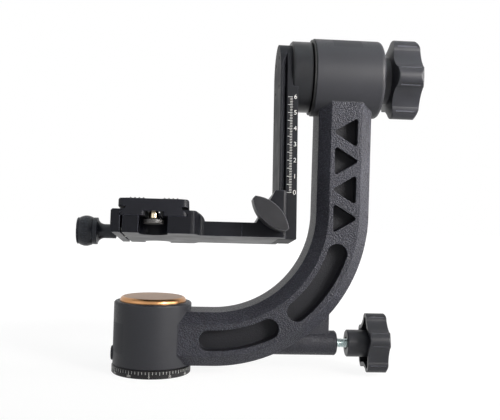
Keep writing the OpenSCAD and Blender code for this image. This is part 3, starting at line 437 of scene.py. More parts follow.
def handling_group():
    """Soft patches left by hands, and specks of dust, both from 0 to 1."""
    t = Tree("Handling", {"Scale": 60.0}, ("Patch", "Speck"))
    place = t.place()
    cloud = t.add("ShaderNodeTexNoise", Vector=place, Scale=t.take("Scale"), Detail=4.0, Roughness=0.62)
    dust = t.add("ShaderNodeTexNoise", Vector=place, Scale=2600.0, Detail=1.0)
    return t.put(Patch=t.ramp(cloud.outputs["Fac"], 0.35, 0.68), Speck=t.ramp(dust.outputs["Fac"], 0.72, 0.8))


def barrel_group():
    """1 on the arm's two round barrels, 0 on the arm between them."""
    t = Tree("Barrel area", results=("Mask",))
    x, y, z = t.parts(t.place())
    base = t.under(t.radius(x, y), PAN_BARREL_R)
    top = t.under(t.radius(y, t.minus(z, TILT_Z)), TILT_BARREL_R)
    return t.put(Mask=t.most(base, t.times(top, t.over(x, TILT_BARREL_X))))


def boss_group():
    """1 on the boss and web that carry the pan lock, 0 elsewhere."""
    t = Tree("Boss area", results=("Mask",))
    x, y, z = t.parts(t.place())
    boss = t.times(t.under(t.radius(y, t.minus(z, LOCK_Z)), BOSS_R), t.over(x, BOSS_X))
    web = t.times(t.under(t.unsigned(y), WEB_HALF), t.over(x, WEB_X))
    return t.put(Mask=t.most(boss, t.times(web, t.under(z, WEB_TOP))))


def pocket_group():
    """1 inside the recesses of the arm's two faces, found from the arm's bent centre line."""
    t = Tree("Pocket area", results=("Mask",))
    x, y, z = t.parts(t.place())
    along = t.most(t.minus(x, BEND_X), 0.0)
    below = t.least(t.minus(z, ARM_Z + BEND_R), 0.0)
    off = t.unsigned(t.minus(t.radius(along, below), BEND_R))
    return t.put(Mask=t.times(t.under(off, POCKET_HALF), t.under(t.unsigned(y), POCKET_FACE)))


def grip_group():
    """The lines beside each lobe of a knob, as painted shade in a groove and a painted highlight on the edge next to
    it.
    """
    t = Tree("Grip lines", {"Axis height": 0.02, "Turn": 0.0, "Start": 0.14, "End": 0.15}, GRIP_LINES)
    x, y, z = t.parts(t.place())
    step = 2 * math.pi / LOBES
    angle = t.maths("ARCTAN2", y, t.minus(t.take("Axis height"), z))
    # Whole steps are added, because a remainder keeps the sign of a negative angle.
    shifted = t.plus(t.minus(angle, t.take("Turn")), step / 2 + 2 * step * LOBES)
    off = t.unsigned(t.minus(t.maths("MODULO", shifted, step), step / 2))
    within = t.times(t.over(x, t.take("Start")), t.under(x, t.take("End")))
    marks = {}
    for label, middle in GRIP_LINES.items():
        near = t.unsigned(t.minus(off, math.radians(middle)))
        marks[label] = t.times(t.ramp(near, math.radians(1.3), math.radians(0.5)), within)
    return t.put(**marks)


GROUPS = {}


def groups():
    """The shader groups, built once."""
    if not GROUPS:
        GROUPS.update(
            edge=soft_edge_group(), pebble=pebble_group(), grain=grain_group(), handling=handling_group(),
            barrel=barrel_group(), boss=boss_group(), pocket=pocket_group(), grip=grip_group(),
        )
    return GROUPS


# Finishes


class Finish(Nodes):
    """One material: a Principled BSDF and what feeds it."""

    def __init__(self, name):
        self.material = bpy.data.materials.new(name)
        self.material.use_nodes = True
        super().__init__(self.material.node_tree)
        self.bsdf = next(n for n in self.nodes if n.type == "BSDF_PRINCIPLED")

    def group(self, which, **values):
        return self.add("ShaderNodeGroup", {"node_tree": groups()[which]}, **values).outputs

    def skin(self, radius, grain, patches, stretch=(1.0, 1.0, 1.0)):
        """What every solid finish starts from: its soft edge, its fine grain and its handled patches."""
        fine = self.group("grain", Scale=grain, Stretch=stretch)
        return self.group("edge", Radius=radius), fine[0], self.group("handling", Scale=patches)

    def blend(self, mask, first, second):
        """Mixes two colours, given as tuples or sockets."""
        mix = self.add("ShaderNodeMix", {"data_type": "RGBA"}, i0=mask)
        for index, value in ((6, first), (7, second)):
            self.feed(mix.inputs[index], value if isinstance(value, bpy.types.NodeSocket) else (*value, 1.0))
        return mix.outputs[2]

    def bump(self, height, distance, normal, strength=1.0):
        made = self.add("ShaderNodeBump", Height=height, Distance=distance, Normal=normal, Strength=strength)
        return made.outputs[0]

    def surface(self, **inputs):
        """Feeds the shader with what varies, sets what doesn't, and gives the finished material."""
        for key, value in inputs.items():
            self.feed(self.bsdf.inputs[key.replace("_", " ")], value)
        return self.material


def lighter(colour, by):
    return tuple(min(1.0, c * by) for c in colour)


def arm_paint(look):
    """Pebbled black paint on the arm, smooth satin paint on its barrels, painted shade in its pockets and between the
    grains, a painted highlight on the top of each grain, and corners lightened, partly worn and partly as a painted
    highlight.
    """
    f = Finish("arm_paint")
    edge, fine, hand = f.skin(0.0007, 3600.0, 42.0)
    pebble = f.group("pebble", Size=look.pebble)
    barrel, boss, pocket = (f.group(area)[0] for area in ("barrel", "boss", "pocket"))
    smooth = f.most(barrel, f.times(boss, 0.45))
    pebbled = f.minus(1.0, f.most(smooth, f.times(pocket, 0.8)))
    paint = tuple(look.paint)
    body = f.blend(hand["Patch"], lighter(paint, 0.85), lighter(paint, 1.18))
    # Painted shade darkens the hollows between the grains, and a painted highlight lightens the top of each grain.
    painted_gap_shade = f.blend(f.times(pebble["Gap"], 0.5), body, lighter(paint, 0.55))
    painted_grain_highlights = f.blend(f.times(pebble["Top"], 0.6), painted_gap_shade, lighter(paint, 2.6))
    # Painted shade: the pockets are darkened to a third of the paint.
    pockets_painted_dark = f.blend(f.times(pocket, 0.9), painted_grain_highlights, lighter(paint, 0.3))
    satin = f.blend(hand["Patch"], lighter(look.barrel, 0.93), lighter(look.barrel, 1.07))
    # The corners are lightened, partly worn and partly as a painted highlight on the rounded edges.
    worn = f.blend(f.times(edge["Corner"], 0.35), f.blend(smooth, pockets_painted_dark, satin), lighter(paint, 2.6))
    matt = f.most(pebble["Gap"], f.times(pocket, 2.0))
    grains = f.bump(f.times(pebble["Height"], pebbled), 0.0005, edge["Normal"])
    return f.surface(
        Base_Color=worn, Roughness=f.between(matt, 0.42, 0.58), Normal=f.bump(fine, 0.00003, grains, 0.5),
        Specular_IOR_Level=0.28,
    )


def anodised(name, colour, roughness, radius, stretch=(1.0, 1.0, 1.0), edge_wear_and_highlight=0.5, depth=0.00001, sheen=0.25):
    """Satin anodised or painted metal whose edges are lightened, partly worn and partly as a painted highlight."""
    f = Finish(name)
    edge, fine, hand = f.skin(radius, 3000.0, 55.0, stretch)
    base = f.blend(hand["Patch"], lighter(colour, 0.88), lighter(colour, 1.2))
    return f.surface(
        # The edges are lightened eightfold, partly worn and partly as a painted highlight on the rounded corners.
        Base_Color=f.blend(f.times(edge["Corner"], edge_wear_and_highlight), base, lighter(colour, 8.0)),
        Roughness=f.between(hand["Patch"], roughness * 0.88, roughness * 1.14),
        Normal=f.bump(fine, depth, edge["Normal"]), Specular_IOR_Level=sheen,
    )


def moulded(name, colour, roughness=0.4, radius=0.0004, grip=None):
    """Moulded black plastic with a faint sheen, a fine skin and, on a lobed knob, painted shade in its grip grooves and
    painted highlights beside them.
    """
    f = Finish(name)
    edge, fine, hand = f.skin(radius, 1500.0, 70.0)
    base = f.blend(hand["Patch"], lighter(colour, 0.86), lighter(colour, 1.15))
    rubbed = f.blend(f.times(edge["Corner"], 0.6), base, lighter(colour, 4.0))
    shown = f.blend(f.times(hand["Speck"], 0.25), rubbed, (0.18, 0.18, 0.18))
    if grip:
        lines = f.group("grip", **grip)
        # Painted shade in the grip grooves, then a painted highlight on the edge beside each.
        shown = f.blend(f.times(lines["Dark"], 0.9), shown, lighter(colour, 0.2))
        shown = f.blend(f.times(lines["Light"], 0.8), shown, lighter(colour, 4.5))
    return f.surface(
        Base_Color=shown, Roughness=f.between(hand["Patch"], roughness * 0.85, roughness * 1.15),
        Normal=f.bump(fine, 0.00004, edge["Normal"], 0.6), Specular_IOR_Level=0.35,
    )


def bare_metal(name, colour, roughness):
    """Bright turned or plated metal with a fine grain."""
    f = Finish(name)
    edge, fine, hand = f.skin(0.0002, 2200.0, 120.0)
    return f.surface(
        Base_Color=f.blend(hand["Patch"], lighter(colour, 0.8), lighter(colour, 1.05)),
        Roughness=f.between(hand["Patch"], roughness * 0.8, roughness * 1.3),
        Normal=f.bump(fine, 0.000006, edge["Normal"]), Metallic=1.0,
    )


def bronze_cap(look):
    """Bronze anodised top with a brighter gold rounded edge."""
    f = Finish("bronze_cap")
    edge, fine, hand = f.skin(0.0004, 2600.0, 90.0)
    x, y, _ = f.parts(f.place())
    rim = f.ramp(f.radius(x, y), CAP_FLAT_R, CAP_EDGE_R)
    top = f.blend(hand["Patch"], lighter(look.bronze, 0.85), lighter(look.bronze, 1.1))
    return f.surface(
        Base_Color=f.blend(rim, top, tuple(look.gold)), Roughness=f.between(rim, 0.42, 0.33),
        Normal=f.bump(fine, 0.00001, edge["Normal"]), Metallic=1.0,
    )


def rubber(name):
    """Matt black rubber."""
    f = Finish(name)
    edge, fine, hand = f.skin(0.0002, 1800.0, 80.0)
    base = f.blend(hand["Patch"], (0.02, 0.022, 0.022), (0.032, 0.034, 0.034))
    return f.surface(
        Base_Color=f.blend(f.times(hand["Speck"], 0.4), base, (0.2, 0.2, 0.2)),
        Normal=f.bump(fine, 0.00006, edge["Normal"]), Roughness=0.8,
    )


def ink(name):
    """White printed lines and numerals, slightly worn."""
    f = Finish(name)
    fine = f.group("grain", Scale=5000.0)[0]
    return f.surface(Base_Color=f.blend(fine, (0.42, 0.41, 0.4), (0.85, 0.84, 0.82)), Roughness=0.6)


MATERIALS = {}


def materials():
    """Every finish of the head, built once from the panel's colours."""
    if not MATERIALS:
        look = bpy.context.scene.head_finish
        along_z, along_y, along_x = (1.0, 1.0, 0.05), (1.0, 0.05, 1.0), (0.05, 1.0, 1.0)
        MATERIALS.update(
            arm=arm_paint(look),
            hub=anodised("hub_anodised", (0.0112, 0.0118, 0.014), 0.36, 0.0004, along_z, 0.3),
            rail=anodised("rail_anodised", (0.009, 0.0095, 0.012), 0.55, 0.0003, (1.0, 1.0, 0.04), 0.6, sheen=0.12),
            clamp=anodised("clamp_anodised", (0.0062, 0.0066, 0.0092), 0.4, 0.0006, along_y, 1.0, sheen=0.14),
            plate=anodised("plate_anodised", lighter(look.anodised, 0.9), 0.4, 0.0005, along_y, 0.7, sheen=0.16),
            base=anodised("base_anodised", (0.009, 0.009, 0.01), 0.42, 0.0003, (1.0, 1.0, 0.1)),
            grip=anodised("knob_anodised", (0.022, 0.0245, 0.032), 0.34, 0.0004, along_x),
            leaf=anodised("wing_paint", (0.0155, 0.0155, 0.018), 0.42, 0.0008, edge_wear_and_highlight=1.0, depth=0.00004),
            dark=anodised("black_screws", (0.012, 0.011, 0.01), 0.5, 0.0002, sheen=0.12),
            tilt_grip=moulded("tilt_knob_plastic", tuple(look.plastic), grip=TILT_GRIP),
            pan_grip=moulded("pan_knob_plastic", lighter(look.plastic, 0.8), grip=PAN_GRIP),
            liner=moulded("friction_liner", (0.012, 0.012, 0.013), 0.5, 0.0002),
            collar=moulded("screw_collar", (0.075, 0.072, 0.071), 0.45, 0.0003),
            cap=bronze_cap(look),
            steel=bare_metal("bright_steel", (0.62, 0.62, 0.61), 0.28),
            zinc=bare_metal("zinc_plating", (0.62, 0.7, 0.7), 0.26),
            alloy=bare_metal("turned_aluminium", (0.55, 0.55, 0.56), 0.34),
            brass=bare_metal("brass", (0.72, 0.5, 0.2), 0.3),
            warm=bare_metal("camera_screw_plating", (0.86, 0.72, 0.5), 0.2),
            rubber=rubber("pad_rubber"),
            ink=ink("scale_ink"),
        )
    return MATERIALS


# Geometry trees


class MeshTree(Tree):
    """A geometry tree that takes numbers, a count where it copies something, and a material."""

    def __init__(self, name, numbers, count=None):
        super().__init__(name, numbers, kind="GeometryNodeTree")
        self.give("Geometry", "Geometry", direction="OUTPUT")
        self.give("Material", "Material")
        if count:
            self.give("Count", "Int", count)

    def cube(self, offset):
        """A cube of side 1, moved so that it grows from one face or edge when it is scaled."""
        cube = self.add("GeometryNodeMeshCube", Size=(1.0, 1.0, 1.0)).outputs[0]
        return self.add("GeometryNodeTransform", Geometry=cube, Translation=offset).outputs[0]

    def circle(self):
        return self.add("GeometryNodeMeshCircle", Vertices=self.take("Count"), Radius=self.take("Radius")).outputs[0]

    def index(self):
        return self.add("GeometryNodeInputIndex").outputs[0]

    def every(self, number, shorter, longer):
        """What the ticks of every such number are longer by, and 0 for the others."""
        chosen = self.under(self.maths("MODULO", self.index(), number), 0.5)
        return self.times(chosen, self.minus(self.take(longer), self.take(shorter)))

    def whole(self, geometry, lift=None):
        """Ends the tree: the copies made real, lifted where that is asked for, and coloured."""
        real = self.add("GeometryNodeRealizeInstances", Geometry=geometry).outputs[0]
        if lift is not None:
            real = self.add("GeometryNodeTransform", Geometry=real, Translation=lift).outputs[0]
        coloured = self.add("GeometryNodeSetMaterial", Geometry=real, Material=self.take("Material"))
        return self.put(Geometry=coloured.outputs[0])


def thread_tree():
    """A threaded rod up Z: a tube of vertices whose radius follows a helix, closed at both ends."""
    t = MeshTree("Screw thread", {"Core radius": 0.002, "Crest radius": 0.0025, "Pitch": 0.0008, "Length": 0.02})
    length, pitch, core = t.take("Length"), t.take("Pitch"), t.take("Core radius")
    rows = t.maths("ROUND", t.times(t.share(length, pitch), 8.0))
    grid = t.add("GeometryNodeMeshGrid", Size_X=1.0, Size_Y=1.0, Vertices_X=33, Vertices_Y=rows).outputs[0]
    across, along, _ = t.parts(t.add("GeometryNodeInputPosition").outputs[0])
    # u goes once round the rod, and v from its start to its end.
    u, v = t.plus(across, 0.5), t.plus(along, 0.5)
    height = t.times(v, length)
    wave = t.unsigned(t.minus(t.times(t.maths("FRACT", t.minus(t.share(height, pitch), u)), 2.0), 1.0))
    flank = t.least(t.most(t.minus(t.times(wave, 1.35), 0.18), 0.0), 1.0)
    rod = t.plus(core, t.times(t.minus(t.take("Crest radius"), core), flank))
    # The first and the last row close on the axis.
    radius = t.times(rod, t.times(t.over(v, 0.0001), t.under(v, 0.9999)))
    angle = t.times(u, 2 * math.pi)
    spot = t.vector(t.times(radius, t.maths("COSINE", angle)), t.times(radius, t.maths("SINE", angle)), height)
    shaped = t.add("GeometryNodeSetPosition", Geometry=grid, Position=spot).outputs[0]
    return t.whole(t.add("GeometryNodeMergeByDistance", Geometry=shaped, Distance=1e-6).outputs[0])


def ruler_tree():
    """Printed ticks up Z that face -Y: short ones, and longer ones at every fifth."""
    t = MeshTree("Ruler ticks", {"Step": 0.001, "Short": 0.002, "Long": 0.004, "Width": 0.0003, "Ink": 0.00003}, 61)
    step = t.vector(z=t.take("Step"))
    line = t.add("GeometryNodeMeshLine", {"mode": "OFFSET"}, Count=t.take("Count"), Offset=step).outputs[0]
    reach = t.plus(t.take("Short"), t.every(5.0, "Short", "Long"))
    size = t.vector(reach, t.take("Ink"), t.take("Width"))
    cube = t.cube((-0.5, -0.5, 0.0))
    return t.whole(t.add("GeometryNodeInstanceOnPoints", Points=line, Instance=cube, Scale=size).outputs[0])


def dial_tree():
    """Printed ticks round a rim about Z that hang from a height: longer at every third and again at every sixth."""
    sizes = {"Radius": 0.025, "Top": 0.005, "Short": 0.0014, "Middle": 0.002, "Long": 0.0026}
    t = MeshTree("Dial ticks", {**sizes, "Width": 0.0003, "Ink": 0.00003}, 72)
    reach = t.plus(t.take("Short"), t.every(3.0, "Short", "Middle"))
    size = t.vector(t.take("Ink"), t.take("Width"), t.plus(reach, t.every(6.0, "Middle", "Long")))
    turn = t.vector(z=t.times(t.index(), t.share(2 * math.pi, t.take("Count"))))
    cube = t.cube((0.5, 0.0, -0.5))
    ticks = t.add("GeometryNodeInstanceOnPoints", Points=t.circle(), Instance=cube, Rotation=turn, Scale=size)
    return t.whole(ticks.outputs[0], t.vector(z=t.take("Top")))


def circle_tree():
    """Copies one object round a circle about Z."""
    t = MeshTree("Round pattern", {"Radius": 0.01, "Start": 0.0}, 4)
    t.give("Piece", "Object")
    points = t.add("GeometryNodeTransform", Geometry=t.circle(), Rotation=t.vector(z=t.take("Start"))).outputs[0]
    piece = t.add("GeometryNodeObjectInfo", i0=t.take("Piece")).outputs["Geometry"]
    return t.whole(t.add("GeometryNodeInstanceOnPoints", Points=points, Instance=piece).outputs[0])


def numeral_mesh(text, height):
    """One printed numeral as a mesh: centred, upright in X and Z, facing -Y."""
    curve = bpy.data.curves.new("numeral", "FONT")
    curve.body = text
    curve.size = height / FIGURE_SHARE
    curve.align_x = "CENTER"
    curve.align_y = "CENTER"
    curve.extrude = INK_DEPTH
    curve.offset = -height * FIGURE_THINNING
    holder = bpy.data.objects.new("numeral", curve)
    bpy.context.scene.collection.objects.link(holder)
    bpy.context.view_layer.update()
    mesh = bpy.data.meshes.new_from_object(holder.evaluated_get(bpy.context.evaluated_depsgraph_get()))
    bpy.data.objects.remove(holder)
    mesh.transform(Matrix.Rotation(math.radians(90), 4, "X"))
    return mesh


def gathered(name, parts):
    """Joins meshes into one."""
    shape = bmesh.new()
    for part in parts:
        shape.from_mesh(part)
    return kept(shape, name)


# Operators


def dress(**table):
    """Gives each finish to its CAD nodes."""
    ready = materials()
    for finish, nodes in table.items():
        for node in nodes:
            for place in NODES[node].material_slots:
                place.material = ready[finish]


class GIMBAL_OT_castings(bpy.types.Operator):
    """Finishes the arm, its cap, the base, the hub and what is inside them"""

    bl_idname = "gimbal.castings"
    bl_label = "Arm and base finishes"

    def execute(self, context):
        dress(
            arm=["arm_housing"], cap=["top_cap"], base=["base_plate"], hub=["tilt_hub"], liner=["friction_washer"],
            brass=["pan_brake_shoe"], zinc=["spindle_nut"], alloy=["pan_spindle", "tilt_spacer", "pressure_ring"],
            steel=[
                "brake_drum", "spindle_washer", "pan_push_rod", "tilt_shaft", "shaft_ring",
                "pan_bearing_inners", "pan_bearing_balls", "pan_bearing_outers",
                "tilt_bearing_inners", "tilt_bearing_balls", "tilt_bearing_outers",
            ],
        )
        return {"FINISHED"}


class GIMBAL_OT_bracket(bpy.types.Operator):
    """Finishes the rail, platform, clamp and plate"""

    bl_idname = "gimbal.bracket"
    bl_label = "Bracket finishes"

    def execute(self, context):
        dress(
            rail=["rail"], clamp=["platform", "foot_jaw", "clamp_jaw"], grip=["clamp_knob"], leaf=["wing_knob"],
            plate=["camera_plate"], rubber=["plate_pad"], collar=["screw_collar"], zinc=["wing_screw"],
            steel=["clamp_screw", "clamp_clip", "clamp_guide_pins", "foot_guide_pins", "screw_clip"],
        )
        return {"FINISHED"}


class GIMBAL_OT_knobs(bpy.types.Operator):
    """Finishes the lobed knobs"""

    bl_idname = "gimbal.knobs"
    bl_label = "Knob finishes"

    def execute(self, context):
        dress(pan_grip=["pan_knob"], tilt_grip=["tilt_knob"], brass=["tilt_knob_insert"])
        return {"FINISHED"}


class GIMBAL_OT_threads(bpy.types.Operator):
    """Cuts the threads of the lock screw, the camera screw and the tripod bushing"""

    bl_idname = "gimbal.threads"
    bl_label = "Threads"

    def execute(self, context):
        ready = materials()
        tree = thread_tree()
        self.lock_screw(ready, tree)
        self.camera_screw(ready, tree)
        self.bushing(ready)
        return {"FINISHED"}

    def lock_screw(self, ready, tree):
        """The pan lock's screw, threaded from end to end."""
        low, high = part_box("pan_stud")
        middle = (low + high) / 2
        crest = (high.z - low.z) / 2
        core = crest - LOCK_THREAD_DEPTH
        sizes = {"Core radius": core, "Crest radius": crest, "Pitch": LOCK_PITCH, "Length": high.x - low.x}
        place = Matrix.Translation((low.x, middle.y, middle.z)) @ TOWARDS_X
        stud = baked("lock_stud", tree, sizes, "pan_lock", ready["zinc"], place)
        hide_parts("pan_stud")

    def camera_screw(self, ready, tree):
        """The camera screw: a plain neck that flares onto its black head, and a thread inside the plate."""
        foot = Vector(JOINTS["camera_screw_turn"]["pos_m"])
        spots = [Vector(v.co) - foot for v in NODES["camera_screw"].data.vertices]
        heights = [v.dot(BRACKET_UP) for v in spots]
        low, high = min(heights), max(heights)
        crest = max((v - BRACKET_UP * h).length for v, h in zip(spots, heights))
        # The neck's outline in millimetres. It starts inside the head and flares where it leaves it.
        outline = (
            (0, 0), (2.8, 0), (2.8, 0.92), (3.3, 0.92), (3.35, 1.04), (3.1, 1.32), (2.9, 1.62), (2.8, 2.12), (2.8, 5.9),
            (0, 5.9),
        )
        lower = turned([(radius * MM, height * MM) for radius, height in outline], "camera_screw_neck")
        lower.transform(Matrix.Translation(foot + BRACKET_UP * low) @ BRACKET_TURN)
        neck = mesh_piece("camera_screw_neck", lower, "camera_screw", ready["warm"])
        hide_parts("camera_screw")
        start = low + outline[-1][1] * MM
        sizes = {"Core radius": CAMERA_CORE, "Crest radius": crest, "Pitch": CAMERA_PITCH, "Length": high - start}
        place = Matrix.Translation(foot + BRACKET_UP * start) @ BRACKET_TURN
        rod = baked("camera_screw_thread", tree, sizes, "camera_screw", ready["warm"], place)
        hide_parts("camera_screw")

    def bushing(self, ready):
        """The tripod thread: a bushing whose bore is cut by a helix."""
        low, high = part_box("tripod_bushing")
        length, outer, edge = high.z - low.z, (high.x - low.x) / 2, 0.25 * MM
        steps, rows = 48, int(length / TRIPOD_PITCH * 10)
        shape = bmesh.new()

        def bore(row, i):
            # The thread is cut to its full depth where it opens at both ends.
            wave = abs(2 * (length * row / rows / TRIPOD_PITCH - i / steps) % 2 - 1)
            depth = 1 if row in (0, rows) else min(max(1.3 * wave - 0.15, 0), 1)
            return TRIPOD_MINOR + (TRIPOD_MAJOR - TRIPOD_MINOR) * depth

        outline = [(lambda i, row=row: bore(row, i), low.z + length * row / rows) for row in range(rows + 1)]
        outline += [(outer - edge, high.z), (outer, high.z - edge), (outer, low.z + edge), (outer - edge, low.z)]
        rings = [ring(shape, steps, radius, height) for radius, height in outline]
        walls(shape, [*rings, rings[0]], steps)
        piece = mesh_piece("bushing_thread", solid(shape, "bushing_thread"), "base", ready["steel"])
        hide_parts("tripod_bushing")


class GIMBAL_OT_screws(bpy.types.Operator):
    """Puts socket-head screws in the rail, the base and the barrel"""

    bl_idname = "gimbal.screws"
    bl_label = "Screws"

    def execute(self, context):
        ready = materials()
        tree = circle_tree()
        low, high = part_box("base_screws")
        screw = socket_head(1.5 * MM, high.z - low.z, 2.9 * MM, head_height=1.5 * MM, across=2 * MM, depth=1.1 * MM)
        circle = {"Count": 4, "Radius": 11.5 * MM, "Start": 0.0}
        self.pattern(tree, "base_sockets", screw, circle, "base", ready["steel"], None, "base_screws")
        low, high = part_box("rail_screws")
        screw = socket_head(2 * MM, high.x - low.x, 3.8 * MM, head_height=2.2 * MM, across=2.5 * MM, depth=1.5 * MM)
        circle = {"Count": 4, "Radius": 13.5 * MM, "Start": math.radians(45)}
        place = bracket_frame(low.x / MM, 0, 0) @ TOWARDS_X
        self.pattern(tree, "rail_sockets", screw, circle, "swing", ready["dark"], place, "rail_screws")
        self.plug(ready)
        return {"FINISHED"}

    def pattern(self, tree, name, mesh, circle, body, material, place, node):
        """Copies one screw round a circle and lets the copies stand for a CAD node."""
        sample = bpy.data.objects.new("screw_sample", mesh)
        bpy.context.scene.collection.objects.link(sample)
        piece = baked(name, tree, {"Piece": sample, **circle}, body, material, place)
        bpy.data.objects.remove(sample)
        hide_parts(node)

    def plug(self, ready):
        """The small bright plug screw in the barrel's side, as wide as its head from end to end."""
        low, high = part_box("side_plug")
        middle, head = (low + high) / 2, (high.y - low.y) / 2
        mesh = socket_head(
            head - 0.05 * MM, high.x - low.x, head, head_height=0.5 * MM, across=2 * MM, depth=1.6 * MM,
            name="side_socket", taper=False,
        )
        mesh.transform(Matrix.Translation((low.x, middle.y, middle.z)) @ TOWARDS_X)
        plug = mesh_piece("side_socket", mesh, "arm", ready["steel"])
        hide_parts("side_plug")


class GIMBAL_OT_scales(bpy.types.Operator):
    """Prints the rail's centimetre scale and the base's degree scale"""

    bl_idname = "gimbal.scales"
    bl_label = "Printed scales"

    def execute(self, context):
        white = materials()["ink"]
        self.ruler(white, context.scene.scale_sizes)
        self.dial(white, context.scene.scale_sizes)
        return {"FINISHED"}

    def ruler(self, white, sizes):
        """The rail's scale: a tick at every millimetre, and a numeral at every centimetre."""
        inputs = {
            "Count": 61, "Step": MM, "Short": 1.5 * MM, "Long": 3.0 * MM, "Width": sizes.tick, "Ink": INK_DEPTH,
        }
        place = bracket_frame(TICKS_X, SCALE_FAR, SCALE_ZERO)
        baked("rail_ticks", ruler_tree(), inputs, "swing", white, place, False)
        numerals = []
        for number in range(7):
            mesh = numeral_mesh(str(number), sizes.numeral)
            mesh.transform(bracket_frame(NUMERALS_X, SCALE_FAR, SCALE_ZERO + 10 * number))
            numerals.append(mesh)
        mesh_piece("rail_numerals", gathered("rail_numerals", numerals), "swing", white, False)

    def dial(self, white, sizes):
        """The base's degree scale, with a numeral at every thirtieth degree."""
        low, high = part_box("base_plate")
        radius = (high.x - low.x) / 2
        inputs = {
            "Count": 360 // sizes.degree, "Radius": radius, "Top": high.z - 0.5 * MM, "Short": 1.7 * MM,
            "Middle": 2.1 * MM, "Long": 2.7 * MM, "Width": sizes.tick, "Ink": INK_DEPTH,
        }
        baked("dial_ticks", dial_tree(), inputs, "base", white, None, False)
        labels = []
        for degrees in range(0, 360, 30):
            mesh = numeral_mesh(str(degrees), DIAL_NUMERAL)
            angle = math.radians(degrees - 90)
            for vertex in mesh.vertices:
                x, y, z = vertex.co
                turn = angle + x / radius
                out = radius - y
                vertex.co = (out * math.cos(turn), out * math.sin(turn), low.z + DIAL_NUMERAL_UP + z)
            labels.append(mesh)
        mesh_piece("dial_numerals", gathered("dial_numerals", labels), "base", white, False)


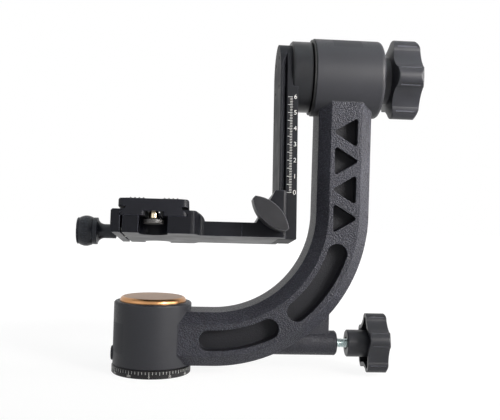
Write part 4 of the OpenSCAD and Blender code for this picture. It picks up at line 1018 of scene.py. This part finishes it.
class GIMBAL_OT_stage(bpy.types.Operator):
    """Lays the floor, sets the lamps and places the camera as in the photograph"""

    bl_idname = "gimbal.stage"
    bl_label = "Stage and camera"

    def execute(self, context):
        self.floor()
        self.world()
        self.lamps()
        self.camera()
        context.scene.view_settings.view_transform = "Standard"
        return {"FINISHED"}

    def floor(self):
        """A pale floor under the head, and a pale backdrop far behind it."""
        for name, size, place, turn, glow, near in (
            ("floor", 3.0, (0, 0, -0.0002), 0, 1.12, 0.8),
            ("backdrop", 4.0, (0, 2.6, 2.0), 90, 1.0, 1.0),
        ):
            shape = bmesh.new()
            bmesh.ops.create_grid(shape, x_segments=4, y_segments=4, size=size)
            mesh = kept(shape, name)
            sheet = bpy.data.objects.new(name, mesh)
            sheet.location = place
            sheet.rotation_euler.x = math.radians(turn)
            bpy.context.scene.collection.objects.link(sheet)
            mesh.materials.append(self.pale("pale_" + name, glow, near))

    def pale(self, name, glow, near):
        """A pale surface that glows white where it is seen, less so near its middle, where the shadow shows."""
        f = Finish(name)
        f.surface(Base_Color=(0.86, 0.86, 0.86, 1.0), Roughness=0.9)
        light = f.add("ShaderNodeEmission", Strength=glow).outputs[0]
        away = f.add("ShaderNodeVectorMath", {"operation": "LENGTH"}, i0=f.place()).outputs["Value"]
        fade = f.add(
            "ShaderNodeMapRange", {"interpolation_type": "SMOOTHSTEP"}, i0=away, i1=0.16, i2=0.42, i3=near, i4=1.0
        )
        part = f.times(f.seen_rays(), fade.outputs[0])
        mix = f.add("ShaderNodeMixShader", i0=part, i1=f.bsdf.outputs[0], i2=light)
        f.feed(next(n for n in f.nodes if n.type == "OUTPUT_MATERIAL").inputs[0], mix.outputs[0])
        return f.material

    def world(self):
        """A world that is white where it is seen, and faint where it lights the head."""
        world = bpy.data.worlds.new("studio")
        bpy.context.scene.world = world
        world.use_nodes = True
        w = Nodes(world.node_tree)
        back = next(n for n in w.nodes if n.type == "BACKGROUND")
        w.feed(back.inputs["Color"], (1, 1, 1, 1))
        w.feed(back.inputs["Strength"], w.between(w.seen_rays(), 0.12, 1.0))

    def lamps(self):
        """Soft square lamps: each one's place, target, width, power, tint and spread."""
        plan = (
            ("key", (0.5, -0.42, 0.32), (0.12, 0, 0.18), 0.3, 0.75, (1.0, 0.975, 0.94), 42),
            ("side", (1.2, -0.05, 0.3), (0.12, 0, 0.12), 0.6, 9.0, (1.0, 0.98, 0.95), 180),
            ("top", (0.0, -0.1, 1.1), (0.05, 0, 0.1), 0.8, 1.2, (0.82, 1.0, 1.0), 180),
            ("fill", (-0.9, -0.8, 0.3), (0.05, 0, 0.1), 0.9, 1.5, (0.85, 0.92, 1.0), 180),
        )
        for name, place, target, size, power, tint, spread in plan:
            lamp = bpy.data.lights.new(name, "AREA")
            lamp.size = size
            lamp.energy = power
            lamp.color = tint
            lamp.spread = math.radians(spread)
            holder = bpy.data.objects.new(name, lamp)
            holder.location = place
            holder.rotation_mode = "QUATERNION"
            holder.rotation_quaternion = (Vector(target) - Vector(place)).to_track_quat("-Z", "Y")
            bpy.context.scene.collection.objects.link(holder)

    def camera(self):
        """The camera solved from the photograph's own edges: focal length, centre, place and lean."""
        focal, centre_x, centre_y = 764.347, 257.874, 198.814
        nod, side, swing = -0.006, -0.083, 0.030
        turn = Matrix.Rotation(swing, 3, "Z") @ Matrix.Rotation(nod, 3, "X") @ Matrix.Rotation(side, 3, "Y")
        right, down, ahead = turn @ Matrix(((1, 0, 0), (0, 0, -1), (0, 1, 0)))
        lens = bpy.data.cameras.new("camera")
        lens.sensor_width = 36.0
        lens.lens = focal / WIDTH * lens.sensor_width
        lens.shift_x = (WIDTH / 2 - centre_x) / WIDTH
        lens.shift_y = (centre_y - HEIGHT / 2) / WIDTH
        lens.clip_start = 0.01
        lens.clip_end = 20
        holder = bpy.data.objects.new("camera", lens)
        axes = Matrix((right, -down, -ahead)).transposed().to_4x4()
        holder.matrix_world = Matrix.Translation((0.024182, -0.492617, 0.108909)) @ axes
        bpy.context.scene.collection.objects.link(holder)
        bpy.context.scene.camera = holder


class GIMBAL_PT_panel(bpy.types.Panel):
    """Lists the head's finishes and pieces"""

    bl_label = "Gimbal head"
    bl_idname = "GIMBAL_PT_panel"
    bl_space_type = "VIEW_3D"
    bl_region_type = "UI"
    bl_category = "Gimbal head"

    def draw(self, context):
        for group in (context.scene.head_finish, context.scene.scale_sizes):
            for key in group.bl_rna.properties.keys():
                if key not in {"rna_type", "name"}:
                    self.layout.prop(group, key)
        for operator in STEPS:
            self.layout.operator(operator.bl_idname)


STEPS = (
    GIMBAL_OT_castings, GIMBAL_OT_bracket, GIMBAL_OT_knobs, GIMBAL_OT_threads, GIMBAL_OT_screws, GIMBAL_OT_scales,
    GIMBAL_OT_stage,
)
CLASSES = (HeadFinish, ScaleSizes, *STEPS, GIMBAL_PT_panel)


def register():
    for item in CLASSES:
        bpy.utils.register_class(item)
    bpy.types.Scene.head_finish = bpy.props.PointerProperty(type=HeadFinish)
    bpy.types.Scene.scale_sizes = bpy.props.PointerProperty(type=ScaleSizes)


def unregister():
    del bpy.types.Scene.scale_sizes
    del bpy.types.Scene.head_finish
    for item in reversed(CLASSES):
        bpy.utils.unregister_class(item)


def main():
    register()
    bpy.ops.gimbal.castings()
    bpy.ops.gimbal.bracket()
    bpy.ops.gimbal.knobs()
    bpy.ops.gimbal.threads()
    bpy.ops.gimbal.screws()
    bpy.ops.gimbal.scales()
    bpy.ops.gimbal.stage()


if __name__ == "__main__":
    main()
